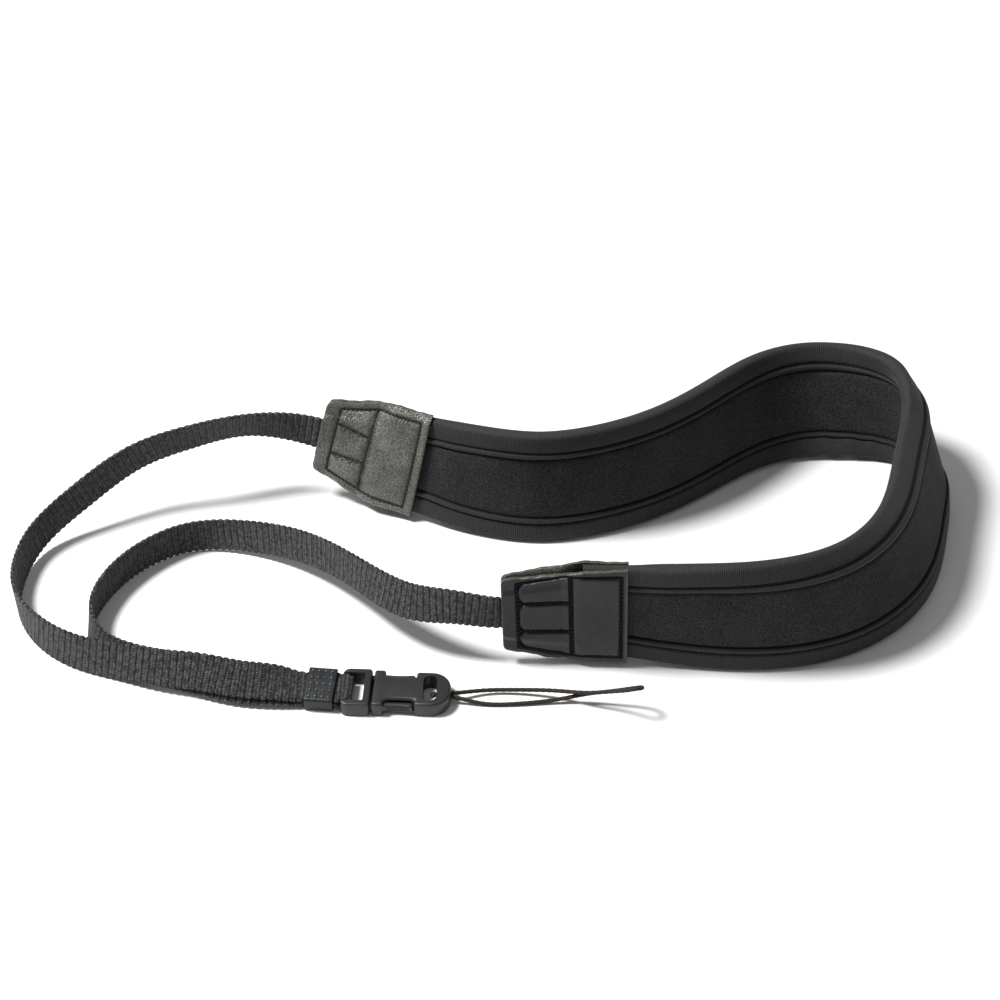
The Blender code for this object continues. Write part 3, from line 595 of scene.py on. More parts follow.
def rib_tree():
    """Ribs across a tape: each point is lifted by its place along the tape, and its edge is drawn in."""
    tree, size = group_tree("ribs across a tape", ("Pitch", "Height", "Pair share", "Scallop", "Finish"))
    math = partial(counted, tree)
    turn = math("MULTIPLY", math("DIVIDE", named(tree, "along"), size["Pitch"]), pi)
    single = math("POWER", hills(tree, turn), 0.7)
    double = math("POWER", hills(tree, math("MULTIPLY", turn, 2.0)), 0.7)
    share = size["Pair share"]
    rest = math("MULTIPLY", single, math("SUBTRACT", 1.0, share))
    wave = math("ADD", rest, math("MULTIPLY", double, share))
    lift = math("MULTIPLY", math("MULTIPLY", wave, size["Height"]), named(tree, "ribs"))
    drawn = math("MULTIPLY", math("SUBTRACT", 1.0, single), size["Scallop"])
    normal = add_node(tree, "GeometryNodeInputNormal").outputs[0]
    reaches = []
    for way, reach in ((normal, lift), (named(tree, "edge", "FLOAT_VECTOR"), drawn)):
        scaled = add_node(tree, "ShaderNodeVectorMath", {0: way, "Scale": reach}, operation="SCALE")
        reaches.append(scaled.outputs[0])
    move = add_node(tree, "ShaderNodeVectorMath", dict(enumerate(reaches)), operation="SUBTRACT").outputs[0]
    moved = add_node(tree, "GeometryNodeSetPosition", {"Geometry": size["Geometry"], "Offset": move})
    return end_tree(tree, moved.outputs[0], size["Finish"])


def small_piece_tree():
    """One small rounded form on every point, turned along the point's lie and out along its face."""
    sizes = ("Length", "Width", "Height", "Sides", "Unevenness", "Seed", "Finish")
    tree, size = group_tree("small pieces on points", sizes)
    round_form = {"Segments": size["Sides"], "Rings": 5, "Radius": 0.5}
    form = add_node(tree, "GeometryNodeMeshUVSphere", round_form)
    extent = {0: size["Length"], 1: size["Width"], 2: size["Height"]}
    extent = add_node(tree, "ShaderNodeCombineXYZ", extent)
    shaped = {"Geometry": form.outputs[0], "Scale": extent.outputs[0]}
    shaped = add_node(tree, "GeometryNodeTransform", shaped)
    smooth = add_node(tree, "GeometryNodeSetShadeSmooth", {"Geometry": shaped.outputs[0]})
    align = "FunctionNodeAlignRotationToVector"
    turned = add_node(tree, align, {"Vector": named(tree, "lie", "FLOAT_VECTOR")}, axis="X")
    tipped = {"Rotation": turned.outputs[0], "Vector": named(tree, "face", "FLOAT_VECTOR")}
    tipped = add_node(tree, align, tipped, axis="Z", pivot_axis="X")
    less = counted(tree, "SUBTRACT", 1.0, size["Unevenness"])
    more = counted(tree, "ADD", 1.0, size["Unevenness"])
    span = {2: less, 3: more, "Seed": size["Seed"]}
    uneven = add_node(tree, "FunctionNodeRandomValue", span, data_type="FLOAT")
    copies = {"Points": size["Geometry"], "Instance": smooth.outputs[0], "Rotation": tipped.outputs[0]}
    copies = add_node(tree, "GeometryNodeInstanceOnPoints", {**copies, "Scale": uneven.outputs[1]})
    return end_tree(tree, copies.outputs[0], size["Finish"])


ribs_across = rib_tree()
small_pieces = small_piece_tree()


def on_points(name, rows, slot, **sizes):
    """Small pieces grown on points. Each row has a point, the way its piece lies and the way it faces."""
    points, lie, face = (np.concatenate(values) for values in zip(*rows))
    mesh = bpy.data.meshes.new(name)
    mesh.from_pydata(points.tolist(), [], [])
    mark_points(mesh, "lie", lie)
    mark_points(mesh, "face", face)
    return fixed(new_piece(name, grown(name, mesh, small_pieces, **sizes)), slot)


def thread_finish():
    material, tree, shader = new_finish("dark thread", 0.6, gloss=0.25)
    tone = between(tree, speckle(tree, 2500, 2), (0.004, 0.004, 0.005), (0.016, 0.016, 0.015), 0.35, 0.75)
    tree.links.new(tone, shader.inputs["Base Color"])
    raised(tree, shader, speckle(tree, 7000, 2), 0.05 * MM, 0.8)
    return material


dark_thread = thread_finish()


def stitches(name, rows, slot, length, thread, seed):
    form = {"Length": length, "Width": thread, "Height": thread * 0.9, "Sides": 6}
    on_points(name, rows, slot, Unevenness=0.1, Seed=seed, Finish=dark_thread, **form)


def elastic_finish():
    """Ribbed elastic: rib tops painted lighter and rib hollows darker, as painted light and shade, the
    stitch groove painted dark as painted shade, and fuzzy yarn.
    """
    material, tree, shader = new_finish("ribbed elastic", 0.72, gloss=0.2, sheen=0.1)
    wave = hills(tree, counted(tree, "MULTIPLY", marked(tree, "along"), pi / RIB_PITCH))
    # Rib tops painted lighter and the hollows between them darker: painted light and shade.
    ribs = between(tree, wave, shade(BAND_GREY, 0.28), shade(BAND_GREY, 1.45), 0.1, 0.85)
    fuzz = between(tree, speckle(tree, 2200, 3), 0.7, 1.35, 0.32, 0.68)
    plain = blended(tree, 1.0, ribs, fuzz, "MULTIPLY")
    # The sunk stitch groove is painted dark: painted shade.
    sewn = blended(tree, marked(tree, "groove"), plain, shade(BAND_GREY, 0.12))
    tree.links.new(sewn, shader.inputs["Base Color"])
    raised(tree, shader, speckle(tree, 5200, 2), 0.08 * MM, 0.5)
    return material


ribbed_elastic = elastic_finish()


def binding_profile(side):
    """The tape's section: its folded edge, its ribbed legs, the stitch groove and the bead."""

    def profile_of(distance):
        half, face = half_width(distance), half_thick(distance)
        held = face - BINDING_THICK
        fold = half - BINDING_THICK
        across, out = [half], [face * 0]
        for turn in (30, 60, 86):
            across.append(half - FOLD_ROUND * (1 - cos(radians(turn))))
            out.append(face * sin(radians(turn)))
        for inwards, above, _, _ in BAND_SECTION:
            across.append(half - inwards * MM)
            out.append(face + above * MM)
        upper_across, upper_out = np.array(across).T, np.array(out).T
        inner_across = np.array([half - BINDING_WIDTH, fold - 0.8 * MM, fold]).T
        inner_out = np.array([held, held, held * 0.7]).T
        legs = [upper_across, inner_across, inner_across[:, ::-1], upper_across[:, :0:-1]]
        heights = [upper_out, inner_out, -inner_out[:, ::-1], -upper_out[:, :0:-1]]
        return side * np.concatenate(legs, axis=1), np.concatenate(heights, axis=1)

    return profile_of


def ribbed(name, node, slot, grid, sizes, **marks):
    """A ribbed tape or strap over rings of points."""
    made = grown(name, skin(name, grid, **marks), ribs_across, **sizes)
    return fixed(new_piece(name, made), slot, node)


def binding(name, node, side):
    distance, grid = pad_rings(RIB_PITCH / 4, binding_profile(side))
    rings = []
    # The first ring sets how far the ribs rise; the second marks where the groove's painted shade lies.
    for edge, column in ((1, 2), (0, 3)):
        leg = [edge] * 4 + [row[column] for row in BAND_SECTION]
        rings.append(np.array(leg + [0] * 6 + leg[:0:-1]))
    sizes = {"Pitch": RIB_PITCH, "Height": RIB_HEIGHT, "Pair_share": 0.0, "Scallop": 0.0}
    sizes["Finish"] = ribbed_elastic
    ribbed(name, node, "binding_knit", grid, sizes, along=distance[:, None], ribs=rings[0], groove=rings[1])


binding("pad_tape_upper", "pad_binding_upper", 1)
binding("pad_tape_lower", "pad_binding_lower", -1)


def pad_stitches():
    """Rows of stitches in the grooves of both tapes, on both faces of the pad."""
    distance = np.arange(pad_start + 1 * MM, pad_end - 1 * MM, PAD_STITCH_PITCH)
    rows = []
    for side in (1, -1):
        for out_side in (1, -1):
            across = side * (half_width(distance) - STITCH_GROOVE)
            out = out_side * (half_thick(distance) - PAD_STITCH_SUNK)
            here = on_pad(distance, across, out)
            face = unit(on_pad(distance, across, out + out_side * MM) - here)
            rows.append((here, pad_line.direction(distance), face))
    stitches("pad_stitches", rows, "binding_knit", PAD_STITCH_LENGTH, THREAD, 3)


pad_stitches()

# The two leather patches.
# Each is a pair of raw-edged leaves sewn over the pad's end and the webbing with one framed pattern of
# stitches. The outer leaf is pressed with three fingers and a bare plate, and the inner one puffs up
# between its seams.

PATCH_TAPER = 20 * MM
PATCH_MOUTH = 27 * MM
PATCH_OVERHANG = 0.5 * MM
PATCH_CORNER = 1.6 * MM
LEATHER_THICK = 1.2 * MM
WEB_THICK = 1.3 * MM
PRESSED = 0.9 * MM
PUFFED = 0.75 * MM
PUFF_ROUND = 1.7 * MM
SEAM_SUNK = 0.25 * MM
PUFFED_SEAM_SUNK = 0.24 * MM
PUFFED_SEAM_WIDE = 0.6 * MM
CREASE = 0.05 * MM
FRAME_INSET = 2.5 * MM
REAR_SHIFT = 1.75 * MM
REAR_SKEW = (0.05, 0.11)
PATCH_STITCH_PITCH = 1.6 * MM
PATCH_STITCH_LENGTH = 0.8 * PATCH_STITCH_PITCH
PATCH_STITCH_RISE = 0.16 * MM
PATCH_THREAD = 0.56 * MM
LEAF_STEP = 0.34 * MM
PLAIN_LEATHER = (0.112, 0.111, 0.098)
PRESSED_LEATHER = (0.0175, 0.0190, 0.0180)
RAW_EDGE = (0.110, 0.103, 0.086)

# Each frame: the reach of its start, of its cross seam and of its end, then its two dividers, each by its
# place across the patch at the frame's start and at the cross seam.
REAR_DIVIDERS = ((7.0 * MM, 4.8 * MM), (-4.9 * MM, -5.4 * MM))
REAR_FRAME = (5.3 * MM, 18.5 * MM, PATCH_LENGTH - 3.4 * MM, REAR_DIVIDERS)
FRONT_DIVIDERS = ((4.8 * MM, 5.4 * MM), (-5.9 * MM, -6.2 * MM))
FRONT_FRAME = (5.0 * MM, 22.1 * MM, PATCH_LENGTH - 2.0 * MM, FRONT_DIVIDERS)


def patch_half(reach):
    """Half the height of a patch at a distance from its mouth."""
    wide = PAD_END_SHARE * PAD_WIDTH / 2 + PATCH_OVERHANG
    taper = mixed(PATCH_MOUTH / 2, wide, np.clip(reach / PATCH_TAPER, 0, 1))
    inside = np.clip(PATCH_CORNER - reach, 0, PATCH_CORNER)
    return taper - PATCH_CORNER + np.sqrt(PATCH_CORNER**2 - inside**2)


def seam_gaps(reach, across, frame):
    """Distances to the nearest seam along and across the patch, in the panel that holds each point, whether
    the point is inside the frame, and how far outside the frame it is."""
    frame_start, cross_seam, frame_end, dividers = frame
    frame_half = patch_half(reach) - FRAME_INSET
    share = (reach - frame_start) / (cross_seam - frame_start)
    in_fingers = reach < cross_seam
    past_start = np.minimum(reach - frame_start, cross_seam - reach)
    past_cross = np.minimum(reach - cross_seam, frame_end - reach)
    along_gap = np.where(in_fingers, past_start, past_cross)
    across_gap = frame_half - np.abs(across)
    for first, second in dividers:
        beside = np.minimum(across_gap, np.abs(across - mixed(first, second, share)))
        across_gap = np.where(in_fingers & (across_gap > 0), beside, across_gap)
    inside = (across_gap > 0) & (along_gap > 0) & (reach > frame_start) & (reach < frame_end)
    rim = np.maximum(np.abs(across) - frame_half, np.maximum(frame_start - reach, reach - frame_end))
    return along_gap, across_gap, inside, rim


def pressed_relief(reach, across, frame):
    """Raised fingers and plate with rounded corners, and a low rim round the sunk seams."""
    along_gap, across_gap, inside, rim = seam_gaps(reach, across, frame)
    corner = mixed(3.4 * MM, 1.0 * MM, np.clip((reach - frame[0]) / (9 * MM), 0, 1))
    cut = np.hypot(np.maximum(corner - along_gap, 0), np.maximum(corner - across_gap, 0))
    depth = corner - cut
    panel = PRESSED * eased(depth, 0.5 * MM, 1.0 * MM) + 0.16 * MM * eased(depth, 1.0 * MM, 4 * MM)
    edge = 0.55 * MM * eased(rim, 0.4 * MM, 0.95 * MM)
    # The seam share marks where the leather is painted darker, as painted shade in the sunk seams.
    seam = 1 - np.where(inside, eased(depth, 0.4 * MM, 0.8 * MM), eased(rim, 0.35 * MM, 0.8 * MM))
    return np.where(inside, panel, edge) - SEAM_SUNK, seam


def puffed_relief(reach, across, frame):
    """Soft panels that rise between the seams, a little creased towards them."""
    along_gap, across_gap, inside, rim = seam_gaps(reach, across, frame)
    near = np.where(inside, np.minimum(along_gap, across_gap), rim)
    soft = 1 - np.exp(-((near / PUFF_ROUND) ** 2))
    height = np.where(inside, PUFFED, PUFFED * 0.62) * soft
    # The seam share marks where the leather is painted darker, as painted shade in the sunk seams.
    seam = np.exp(-((near / PUFFED_SEAM_WIDE) ** 2))
    crease = np.sin(reach / (1.45 * MM) + 1.1 * np.sin(across / (2.6 * MM)))
    crease = CREASE * crease * np.exp(-((near / (2.4 * MM)) ** 2)) * (1 - seam)
    return height + crease - SEAM_SUNK - PUFFED_SEAM_SUNK * seam, seam


def relief_of(front, side, reach, across):
    """The relief of a leaf and its seams, on the pressed outer leaf or on the puffed inner one."""
    frame = FRONT_FRAME if front else REAR_FRAME
    return pressed_relief(reach, across, frame) if side > 0 else puffed_relief(reach, across, frame)


def leaf_distance(front, reach, across):
    """Where a point of a leaf lies along the pad. The rear patch is sewn on a little askew."""
    if front:
        return pad_line.length - reach
    share = reach / PATCH_LENGTH
    return reach + across * mixed(*REAR_SKEW, share) - REAR_SHIFT * share


def leaf_drop(front, side, reach):
    """How far the upper edge of a leaf hangs below its even outline."""
    if front and side > 0:
        return np.interp(reach / MM, (0, 10, 19, 22, 25, 30, 40), (0, 1.8, 3.3, 2.6, 1.6, 1.0, 0)) * MM
    if front:
        return 1.3 * MM * eased(reach, 8 * MM, 20 * MM)
    if side > 0:
        return 2.0 * MM * eased(reach, 16 * MM, 30 * MM)
    return -0.9 * MM * eased(reach, 12 * MM, 26 * MM)


def leaf_lift(front, side, reach):
    """How far the lower edge of a leaf is cut above its even outline."""
    if front and side > 0:
        return np.interp(reach / MM, (0, 14, 20, 26, 33, 40), (0, 0, 1.1, 2.1, 1.4, 0.6)) * MM
    return reach * 0


def edge_drawn(front, side, reach, share):
    """How far a point of a leaf moves across it, where its edges leave the even outline."""
    drop = leaf_drop(front, side, reach) * np.clip(share, 0, 1) ** 6
    return leaf_lift(front, side, reach) * np.clip(-share, 0, 1) ** 6 - drop


def leaf_gap(front, reach, share):
    """How far a leaf's inner face lies from the middle plane, over the pad, over the webbing and beside it.
    The upper edges of the rear leaves are drawn together over the pad's edge."""
    over_pad = PAD_THICK / 2 * PAD_PINCH + GAP + 0.15 * MM
    low = mixed(WEB_THICK / 2 + GAP, GAP * 0.7, eased(np.abs(share), 0.56, 0.72))
    slope_start = PATCH_LENGTH - PAD_IN_PATCH - 7 * MM
    gap = mixed(low, over_pad, np.clip((reach - slope_start) / (6 * MM), 0, 1))
    return gap if front else gap * (1 - 0.8 * eased(share, 0.88, 1.0) * eased(reach, 14 * MM, 24 * MM))


def outwards(mesh):
    """Turns the faces of a closed mesh outwards."""
    bm = bmesh.new()
    bm.from_mesh(mesh)
    bmesh.ops.recalc_face_normals(bm, faces=bm.faces)
    bm.to_mesh(mesh)
    bm.free()


def leaf(name, node, front, side):
    """One leaf: two fine grids with the relief on the outer one, closed by a raw, slightly wavy edge."""
    reach = np.linspace(0, PATCH_LENGTH, int(PATCH_LENGTH / LEAF_STEP) + 1)
    share = np.linspace(-1, 1, int(2 * patch_half(PATCH_LENGTH) / LEAF_STEP) + 1)
    reach_grid, share_grid = np.meshgrid(reach, share, indexing="ij")
    half = patch_half(reach_grid)
    across = share_grid * half
    relief, seam = relief_of(front, side, reach_grid, across)
    gap = leaf_gap(front, reach_grid, share_grid)
    to_edge = np.minimum(np.minimum(half - np.abs(across), PATCH_LENGTH - reach_grid), reach_grid)
    roll = 0.22 * MM * (1 - eased(to_edge, 0, 0.7 * MM))
    ripple = 0.12 * MM * np.sin(reach_grid / (2.3 * MM) + 1.3) * (1 - eased(to_edge, 0, 3 * MM))
    wave = 0.12 * MM * np.sin(reach_grid / (1.9 * MM)) + 0.08 * MM * np.sin(reach_grid / (0.71 * MM) + 2)
    drawn = across + np.sign(share_grid) * wave * (np.abs(share_grid) ** 30)
    drawn += edge_drawn(front, side, reach_grid, share_grid)
    distance = leaf_distance(front, reach_grid, across)
    near = on_pad(distance, drawn, side * gap)
    far = on_pad(distance, drawn, side * (gap + LEATHER_THICK + relief - roll + ripple))
    rows, columns = reach_grid.shape
    count = rows * columns
    index = np.arange(count).reshape(rows, columns)
    faces = []
    for grid in (index, index + count):
        quads = np.stack([grid[:-1, :-1], grid[:-1, 1:], grid[1:, 1:], grid[1:, :-1]], axis=-1)
        faces += quads.reshape(-1, 4).tolist()
    rim = np.concatenate([index[:, 0], index[-1, 1:], index[-2::-1, -1], index[0, -2:0:-1]])
    after = np.roll(rim, -1)
    faces += np.stack([rim, after, after + count, rim + count], axis=-1).tolist()
    mesh = bpy.data.meshes.new(name)
    mesh.from_pydata(np.concatenate([near.reshape(-1, 3), far.reshape(-1, 3)]).tolist(), [], faces)
    raw_reach = np.where(PATCH_LENGTH - reach_grid < half - np.abs(across), 0.9, 0.4) * MM
    raw = 1 - eased(to_edge / raw_reach, 0.1, 1.0)
    # The seam mark carries the painted shade of the sunk seams to the outer face.
    mark_points(mesh, "seam", np.stack([seam * 0, seam]))
    mark_points(mesh, "raw", np.stack([raw, raw]))
    outwards(mesh)
    mesh.shade_smooth()
    mesh.set_sharp_from_angle(angle=radians(60))
    if side > 0:
        fixed(new_piece(name, mesh, pressed_leather), "moulded_leather", node)
    else:
        fixed(new_piece(name, mesh, plain_leather), "patch_leather", node)


def leather_finish(name, colour, roughness, gloss, grain, grain_depth, cloud_and_sheen, fleck, seam_shade):
    """Grained leather with a paler raw edge. Its sunk seams are painted darker, as painted shade in the
    grooves, and its random clouds of tone run brighter in blotches that stand in for painted sheen. grain
    is in pebbles a metre; the cloud, fleck and seam arguments are shares of the colour."""
    material, tree, shader = new_finish(name, gloss=gloss)
    at = add_node(tree, "ShaderNodeTexCoord").outputs["Object"]
    bent = add_node(tree, "ShaderNodeTexNoise", {"Vector": at, "Scale": grain * 0.45, "Detail": 2.0})
    pull = {0: bent.outputs["Color"], "Scale": 0.5 / grain}
    pull = add_node(tree, "ShaderNodeVectorMath", pull, operation="SCALE").outputs[0]
    moved = add_node(tree, "ShaderNodeVectorMath", {0: at, 1: pull}, operation="ADD").outputs[0]
    cells = add_node(tree, "ShaderNodeTexVoronoi", {"Vector": moved, "Scale": grain}, feature="F1")
    pebble = cells.outputs["Distance"]
    tone = between(tree, pebble, shade(colour, 1 + fleck), shade(colour, 1 - fleck), 0.12, 0.7)
    # Random clouds of tone, whose brighter blotches stand in for painted sheen.
    cloud = between(tree, speckle(tree, 95, 4), 1 - cloud_and_sheen, 1 + cloud_and_sheen, 0.32, 0.68)
    seam = marked(tree, "seam")
    # The sunk seams are painted darker, as painted shade in the grooves.
    sewn = blended(tree, seam, blended(tree, 1.0, tone, cloud, "MULTIPLY"), shade(colour, seam_shade))
    frayed = between(tree, speckle(tree, 1800, 3), shade(RAW_EDGE, 0.25), RAW_EDGE, 0.3, 0.7)
    tree.links.new(blended(tree, marked(tree, "raw"), sewn, frayed), shader.inputs["Base Color"])
    patchy = {"Value": cloud, "To Min": roughness + 0.1, "To Max": roughness - 0.08}
    patchy = add_node(tree, "ShaderNodeMapRange", patchy).outputs[0]
    dull = add_node(tree, "ShaderNodeMix", {0: seam, 2: patchy, 3: 0.95}, data_type="FLOAT")
    tree.links.new(dull.outputs[0], shader.inputs["Roughness"])
    first = raised(tree, shader, pebble, grain_depth, 0.9)
    raised(tree, shader, speckle(tree, grain * 1.7, 3), grain_depth * 0.6, 0.7, first)
    return material


plain_leather = leather_finish(
    "plain leather",
    PLAIN_LEATHER,
    roughness=0.34,
    gloss=0.5,
    grain=1650,
    grain_depth=0.26 * MM,
    cloud_and_sheen=0.42,
    fleck=0.48,
    seam_shade=0.3,
)
pressed_leather = leather_finish(
    "pressed leather",
    PRESSED_LEATHER,
    roughness=0.40,
    gloss=0.3,
    grain=2400,
    grain_depth=0.08 * MM,
    cloud_and_sheen=0.18,
    fleck=0.30,
    seam_shade=0.06,
)
leaf("rear_leaf_plain", "rear_patch_inner", False, -1)
leaf("rear_leaf_pressed", "rear_patch_outer", False, 1)
leaf("front_leaf_plain", "front_patch_inner", True, -1)
leaf("front_leaf_pressed", "front_patch_outer", True, 1)


def seam_lines(frame):
    """The patch's seams as lists of reach and across."""
    frame_start, cross_seam, frame_end, dividers = frame
    top = [(r, patch_half(np.array(r)) - FRAME_INSET) for r in np.linspace(frame_start, frame_end, 40)]
    lines = [top, [(r, -a) for r, a in top]]
    for r in frame[:3]:
        a = patch_half(np.array(r)) - FRAME_INSET
        lines.append([(r, a), (r, 0), (r, -a)])
    lines += [[(frame_start, first), (cross_seam, second)] for first, second in dividers]
    return [np.array(line, float) for line in lines]


def patch_stitches(name, front, side, slot, seed):
    """Stitches along every seam of one leaf, set in the sunk line."""
    rows = []
    for line in seam_lines(FRONT_FRAME if front else REAR_FRAME):
        steps = np.linalg.norm(np.diff(line, axis=0), axis=1)
        at = np.concatenate([[0], np.cumsum(steps)])
        count = max(2, int(round(at[-1] / PATCH_STITCH_PITCH)))
        where = (np.arange(count) + 0.5) / count * at[-1]

        def on_leaf(distances, lift):
            reach = np.interp(distances, at, line[:, 0])
            across = np.interp(distances, at, line[:, 1])
            share = across / patch_half(reach)
            height = relief_of(front, side, reach, across)[0]
            out = side * (leaf_gap(front, reach, share) + LEATHER_THICK + height + lift)
            drawn = across + edge_drawn(front, side, reach, share)
            return on_pad(leaf_distance(front, reach, across), drawn, out)

        here = on_leaf(where, PATCH_STITCH_RISE)
        lie = unit(on_leaf(where + 0.3 * MM, 0) - on_leaf(where - 0.3 * MM, 0))
        rows.append((here, lie, unit(on_leaf(where, PATCH_STITCH_RISE + 0.96 * MM) - here)))
    stitches(name, rows, slot, PATCH_STITCH_LENGTH, PATCH_THREAD, seed)


patch_stitches("rear_stitches_plain", False, -1, "patch_leather", 11)
patch_stitches("rear_stitches_pressed", False, 1, "moulded_leather", 12)
patch_stitches("front_stitches_plain", True, -1, "patch_leather", 13)
patch_stitches("front_stitches_pressed", True, 1, "moulded_leather", 14)

# The webbing.
# One narrow woven strap 12 mm wide runs from each patch to the buckle. The rear one turns round the
# buckle's bar and comes back through the sleeve. The front one ends in the sleeve beneath it.

WEB_WIDTH = 12.0 * MM
WEB_IN_PATCH = 18 * MM
WEB_RIB = 2.3 * MM
WEB_YARN = 0.58 * MM
WEB_RELIEF = 0.17 * MM
WEB_PAIR_SHARE = 0.12
WEB_SCALLOP = 0.42 * MM
SLEEVE_ROOM = 10.4 * MM
SLEEVE_WALL = 0.7 * MM
SLEEVE_TILT = 8.0
ROOM_TO_BAR = 8.3 * MM
BAR_RADIUS = 0.9 * MM
WEB_GREY = (0.0245, 0.0258, 0.0245)

REAR_ROWS = (
    # along, deep: shares of the lay. high: share of WEB_WIDTH. lean: degrees outwards.
    (-0.208, -0.448, 0.52, -66),
    (-0.247, -0.443, 0.61, -55),
    (-0.288, -0.423, 0.64, -48),
    (-0.329, -0.405, 0.58, -38),
    (-0.369, -0.379, 0.51, -28),
    (-0.411, -0.350, 0.50, -18),
    (-0.456, -0.283, 0.52, -8),
    (-0.487, -0.174, 0.53, 4),
    (-0.491, -0.063, 0.53, 8),
    (-0.479, 0.032, 0.66, 6),
    (-0.435, 0.126, 1.23, 3),
    (-0.378, 0.200, 1.90, -6),
    (-0.324, 0.231, 2.26, -13),
    (-0.261, 0.269, 2.35, -17),
)

FRONT_ROWS = (
    # columns as in REAR_ROWS
    (-0.036, -0.313, 1.69, -14),
    (-0.078, -0.275, 1.47, -26),
    (-0.131, -0.171, 1.26, -15),
    (-0.198, -0.028, 0.87, -12),
    (-0.261, 0.036, 0.61, -9),
    (-0.319, 0.039, 0.53, -4),
    (-0.368, -0.032, 0.53, -1),
    (-0.398, -0.135, 0.53, 0),
    (-0.407, -0.241, 0.52, 6),
    (-0.394, -0.325, 0.50, 22),
)

UNDER_ROWS = (
    # distance from the sleeve in sleeve lengths, share of WEB_WIDTH that shows below the rear webbing
    (5.0, 0.0),
    (4.2, 0.03),
    (3.1, 0.12),
    (1.9, 0.15),
    (1.2, 0.13),
    (0.7, 0.09),
    (0.3, 0.04),
)

turn_radius = BAR_RADIUS + GAP * 1.2 + WEB_THICK / 2
layer_rise = (WEB_THICK + GAP) / 2
sleeve_rise = WEB_THICK + GAP * 1.9 + SLEEVE_WALL
sleeve_half_width = WEB_WIDTH / 2 + GAP + SLEEVE_WALL
tilt = radians(SLEEVE_TILT)
sleeve_across = buckle_across * cos(tilt) + UP * sin(tilt)
sleeve_up = UP * cos(tilt) - buckle_across * sin(tilt)
sleeve_middle = bar_middle - buckle_along * ROOM_TO_BAR
sleeve_middle[2] = sleeve_half_width * sin(tilt) + sleeve_rise * cos(tilt)


def sleeve_row(reach, rise):
    """A row of point and across vector in the sleeve, for its upper or its lower layer of webbing."""
    return (*(sleeve_middle + buckle_along * reach + sleeve_up * rise), *sleeve_across)


def turn_rows():
    """Rows of point and across vector: from the sleeve's lower layer round the bar to its upper layer."""
    half = SLEEVE_ROOM / 2
    rows = [sleeve_row(reach, -layer_rise) for reach in (0, half / 2, half)]
    for turn in np.linspace(-90, 90, 7):
        around = buckle_along * cos(radians(turn)) + UP * sin(radians(turn))
        rows.append((*(bar_middle + around * turn_radius), *buckle_across))
    return rows + [sleeve_row(reach, layer_rise) for reach in (half, half / 3, -half / 3, -half)]


def lay_rows(rows, before, after):
    """Rows of point and across vector for a table of the webbing, between the points before and after."""
    points = [lay_point(a, d, h * WEB_WIDTH) for a, d, h, _ in rows]
    headings = unit(np.gradient(np.array([before] + points + [after]), axis=0))[1:-1]
    across = upright(headings, np.array([row[3] for row in rows], float))
    return [(*p, *a) for p, a in zip(points, across)]


def patch_rows(front):
    """Rows inside a patch, from its mouth inwards."""
    rows = []
    for reach in np.linspace(0, WEB_IN_PATCH, 5):
        distance = np.array([pad_line.length - reach if front else reach])
        lean = pad_line(distance)[:, 3]
        rows.append((*pad_line(distance)[0, :3], *upright(pad_line.direction(distance), lean)[0]))
    return rows


def strip_frames(curve, distances):
    """Middle points, across vectors and outward vectors of a strip at each distance."""
    values = curve(distances)
    heading = curve.direction(distances)
    across = values[:, 3:6] - heading * np.sum(values[:, 3:6] * heading, axis=1, keepdims=True)
    across = unit(across)
    return values[:, :3], across, cross(across, heading)


turn = turn_rows()
rear_patch = patch_rows(False)
front_patch = patch_rows(True)
rear_line = Route(turn + lay_rows(REAR_ROWS, turn[-1][:3], rear_patch[0][:3]) + rear_patch)
turn_length = rear_line.at_rows[len(turn) - 1]


def under_rows():
    """Rows of the front webbing where it lies against the rear webbing's inner side."""
    rows = []
    for back, slip in UNDER_ROWS:
        middle, across, out = strip_frames(rear_line, np.array([turn_length + back * SLEEVE_ROOM]))
        point = middle[0] - out[0] * (WEB_THICK + GAP * 1.8) - across[0] * slip * WEB_WIDTH
        rows.append((*point, *across[0]))
    return rows


under = under_rows()
sleeve_end = [sleeve_row(reach, -layer_rise) for reach in (-SLEEVE_ROOM / 2, -GAP)]
front_rows = lay_rows(FRONT_ROWS, front_patch[0][:3], under[0][:3])
front_line = Route(front_patch[::-1] + front_rows + under + sleeve_end)


